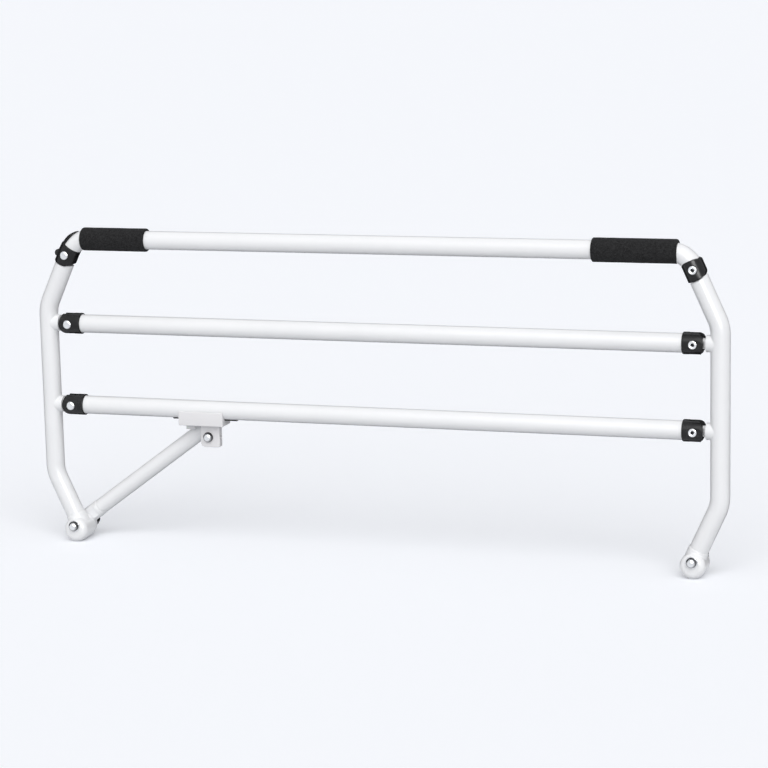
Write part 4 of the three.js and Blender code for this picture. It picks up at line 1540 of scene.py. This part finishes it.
def makeLeverPin():
    front = [(lever["pinRadius"] * share, inset - lever["pinReach"]) for share, inset in lever["pinEnd"]]
    profile = eased(front + [(radius, -y) for radius, y in front[::-1]], lever["pinEdge"])
    dress(turnedPiece("release_lever_pin_rod", leverHub, profile), "release_lever_pin")


def makeLeverSpring():
    thick = lever["springWire"]
    reach = lever["pinRadius"] + gap + lever["springGap"]
    low = lever["webHalfWidth"] - lever["springWidth"] + thick
    coil = coilPoints(reach, lever["springWidth"] - 2 * thick, lever["springTurns"], lever["springSteps"])
    points = [(leverHub.x + across, low + back, leverHub.y + up) for across, up, back in coil]
    dress(wirePiece("release_lever_spring_coil", points, thick), "release_lever_spring")


def makeLeverSleeve():
    body = elbowSleeve("left")
    slot = sleeves["slotHalfWidth"]
    radius = lever["bossRadius"]
    half = lever["bossReach"]
    boss = eased([(0, -half), (radius, -half), (radius, half), (0, half)], lever["bossEdge"])
    joined(body, turnedPiece("boss", leverHub, boss))
    wide = lever["hubOffset"] + radius + overrun
    span = (-wide, sleeves["elbowReach"]["left"] + overrun)
    reach = lever["pinReach"] + gap
    cutBy(
        body,
        blockPiece("cut", topPivot(left), elbowAlong, span, (sleeves["slotDepth"], wide), (-slot, slot)),
        cylinderCut(leverHub, lever["pinRadius"] + gap, -reach, reach),
    )
    dress(easedEdges(body, sleeves["edge"]), "left_top_sleeve")


makeLever()
makeLeverPin()
makeLeverSpring()
makeLeverSleeve()
print("lever made")

# A plain pale floor that fades into the background, soft light, and dark cards for the gloss, all in metres
studio = {
    "background": (0.922, 0.939, 0.973),  # as the camera sees it
    "floorSize": 60,
    "floorLit": 0.98,  # share of the floor's colour that the lamps light, and so shade
    "floorBounce": 0.6,  # of its colour that it throws back on the object
    "floorLight": 0.878,  # light that reaches the open floor
    "skyBack": (0.44, 0.44, 0.45),
    "skyFront": (0.87, 0.87, 0.875),
    "skyTurn": 18.5,  # degrees from the front to the brightest side
    "skyFade": {"From Min": -0.3, "From Max": 1},
    "sunStrength": 1.5,
    "sunAngle": 60,  # degrees across, for soft shadows
    "sunFrom": (18.5, 40),  # degrees round from the front, and over the horizon
    "cardColour": (0.05, 0.05, 0.055),
    "cardRadius": 1.5,  # round the object's middle
    "cardHeight": 1.5,
    "cardLift": 0.001,
    "cardFront": 0.06,  # how far behind the rails the low one starts
    "cardSpread": 78,  # degrees to each side
    "cardSteps": 24,
    "boxFrom": (31, 16),  # degrees round from the front and over the horizon
    "boxDistance": 3,
    "boxSize": (1.4, 1),
    "boxStrength": 12,
}


def addStage(name, corners, faces):
    mesh = bpy.data.meshes.new(name)
    mesh.from_pydata(corners, [], faces)
    stage = addObject(name, mesh)
    material, tree, shader = newMaterial(name)
    mesh.materials.append(material)
    withValues(shader, {"Roughness": 1, "Specular IOR Level": 0})
    return stage, tree, shader


# One where a ray from the camera, or one off gloss or through glass, meets the surface
def seenMask(tree):
    rays = addNode(tree, "LightPath")
    first = addNode(tree, "Math", operation="MAXIMUM")
    seen = addNode(tree, "Math", operation="MAXIMUM")
    wire(tree, (rays, "Is Camera Ray", first, 0), (rays, "Is Glossy Ray", first, 1))
    wire(tree, (first, 0, seen, 0), (rays, "Is Transmission Ray", seen, 1))
    return seen


def mixedBySeen(tree, seen, unseenColour, seenColour):
    tone = addMix(tree, A=unseenColour, B=seenColour)
    wire(tree, (seen, 0, tone, "Factor"))
    return tone


def makeFloor():
    half = studio["floorSize"] / 2
    corners = [(x, z, 0) for x, z in rectangle((-half, -half), (half, half))]
    floor, tree, shader = addStage("floor", corners, [(0, 1, 2, 3)])
    seen = seenMask(tree)
    colour = Vector(studio["background"])
    lit = studio["floorLit"]
    tone = mixedBySeen(tree, seen, colour * studio["floorBounce"], colour * lit)
    glow = mixedBySeen(tree, seen, (0, 0, 0), colour * (1 - lit * studio["floorLight"]))
    wire(tree, (tone, "Result", shader, "Base Color"), (glow, "Result", shader, "Emission Color"))
    withValues(shader, {"Emission Strength": 1})


def glossOnly(stage):
    stage.visible_camera = False
    stage.visible_diffuse = False
    stage.visible_shadow = False
    stage.visible_transmission = False


# Dark cards round the back and low behind the feet, which only the gloss sees
def makeCards():
    radius = studio["cardRadius"]
    lift = studio["cardLift"]
    upper = []
    lower = []
    for share in shares(studio["cardSteps"]):
        turn = math.radians(studio["skyTurn"] + studio["cardSpread"] * (2 * share - 1))
        x = -radius * math.sin(turn)
        y = radius * math.cos(turn)
        upper += [(x, y, lift), (x, y, studio["cardHeight"])]
        lower += [(x, min(studio["cardFront"], y), lift), (x, y, lift)]
    faces = [(2 * k, 2 * k + 1, 2 * k + 3, 2 * k + 2) for k in range(studio["cardSteps"])]
    for name, places in (("backCard", upper), ("lowCard", lower)):
        card, tree, shader = addStage(name, places, faces)
        withValues(shader, {"Base Color": (*studio["cardColour"], 1)})
        glossOnly(card)


# Towards a place so many degrees round from the front and over the horizon, with its own across and up
def towards(around, over):
    around, over = math.radians(around), math.radians(over)
    away = Vector((math.sin(around) * math.cos(over), -math.cos(around) * math.cos(over), math.sin(over)))
    across = Vector((math.cos(around), math.sin(around), 0))
    return away, across, away.cross(across)


# A softbox that shows in the gloss alone
def makeSoftbox():
    away, across, up = towards(*studio["boxFrom"])
    wide, tall = studio["boxSize"]
    middle = away * studio["boxDistance"]
    outline = rectangle((-wide / 2, -tall / 2), (wide / 2, tall / 2))
    corners = [tuple(middle + across * u + up * v) for u, v in outline]
    box, tree, shader = addStage("softbox", corners, [(0, 1, 2, 3)])
    withValues(shader, {"Base Color": (0, 0, 0, 1), "Emission Color": (1, 1, 1, 1)})
    withValues(shader, {"Emission Strength": studio["boxStrength"]})
    glossOnly(box)


def makeWorld():
    world = bpy.data.worlds.new("studio")
    bpy.context.scene.world = world
    world.use_nodes = True
    tree = world.node_tree
    turn = math.radians(studio["skyTurn"])
    front = (math.sin(turn), -math.cos(turn), 0)
    place = addNode(tree, "TexCoord")
    facing = addNode(tree, "VectorMath", {1: front}, operation="DOT_PRODUCT")
    share = addNode(tree, "MapRange", studio["skyFade"], interpolation_type="SMOOTHSTEP")
    sky = addMix(tree, A=studio["skyBack"], B=studio["skyFront"])
    shown = mixedBySeen(tree, seenMask(tree), (0, 0, 0), studio["background"])
    wire(
        tree,
        (place, "Generated", facing, 0),
        (facing, "Value", share, "Value"),
        (share, "Result", sky, "Factor"),
        (sky, "Result", shown, "A"),
        (shown, "Result", tree.nodes["Background"], "Color"),
    )


def makeSun():
    light = bpy.data.lights.new("sun", "SUN")
    light.energy = studio["sunStrength"]
    light.angle = math.radians(studio["sunAngle"])
    away, across, up = towards(*studio["sunFrom"])
    addObject("sun", light).rotation_euler = away.to_track_quat("Z", "Y").to_euler()


# The photograph's camera, turned about its target
camera = {
    "target": (17.16, -5.05, 236.37),
    "distance": 3395.1,
    "around": 18.524,  # degrees from the front, to the right
    "over": 10.492,
    "roll": -1.263,
    "lens": 120.36,
    "sensor": 36,
    "clip": 200,  # metres
}


def makeCamera():
    back, across, up = towards(camera["around"], camera["over"])
    roll = math.radians(camera["roll"])
    rolledAcross = across * math.cos(roll) + up * math.sin(roll)
    rolledUp = up * math.cos(roll) - across * math.sin(roll)
    data = bpy.data.cameras.new("camera")
    data.lens = camera["lens"]
    data.sensor_width = camera["sensor"]
    data.clip_end = camera["clip"]
    view = addObject("camera", data)
    turn = Matrix((rolledAcross, rolledUp, back)).transposed().to_4x4()
    place = (Vector(camera["target"]) + back * camera["distance"]) * mm
    view.matrix_world = Matrix.Translation(place) @ turn
    bpy.context.scene.camera = view


makeFloor()
makeCards()
makeSoftbox()
makeWorld()
makeSun()
makeCamera()
bpy.context.scene.view_settings.view_transform = "Standard"
print("studio made")
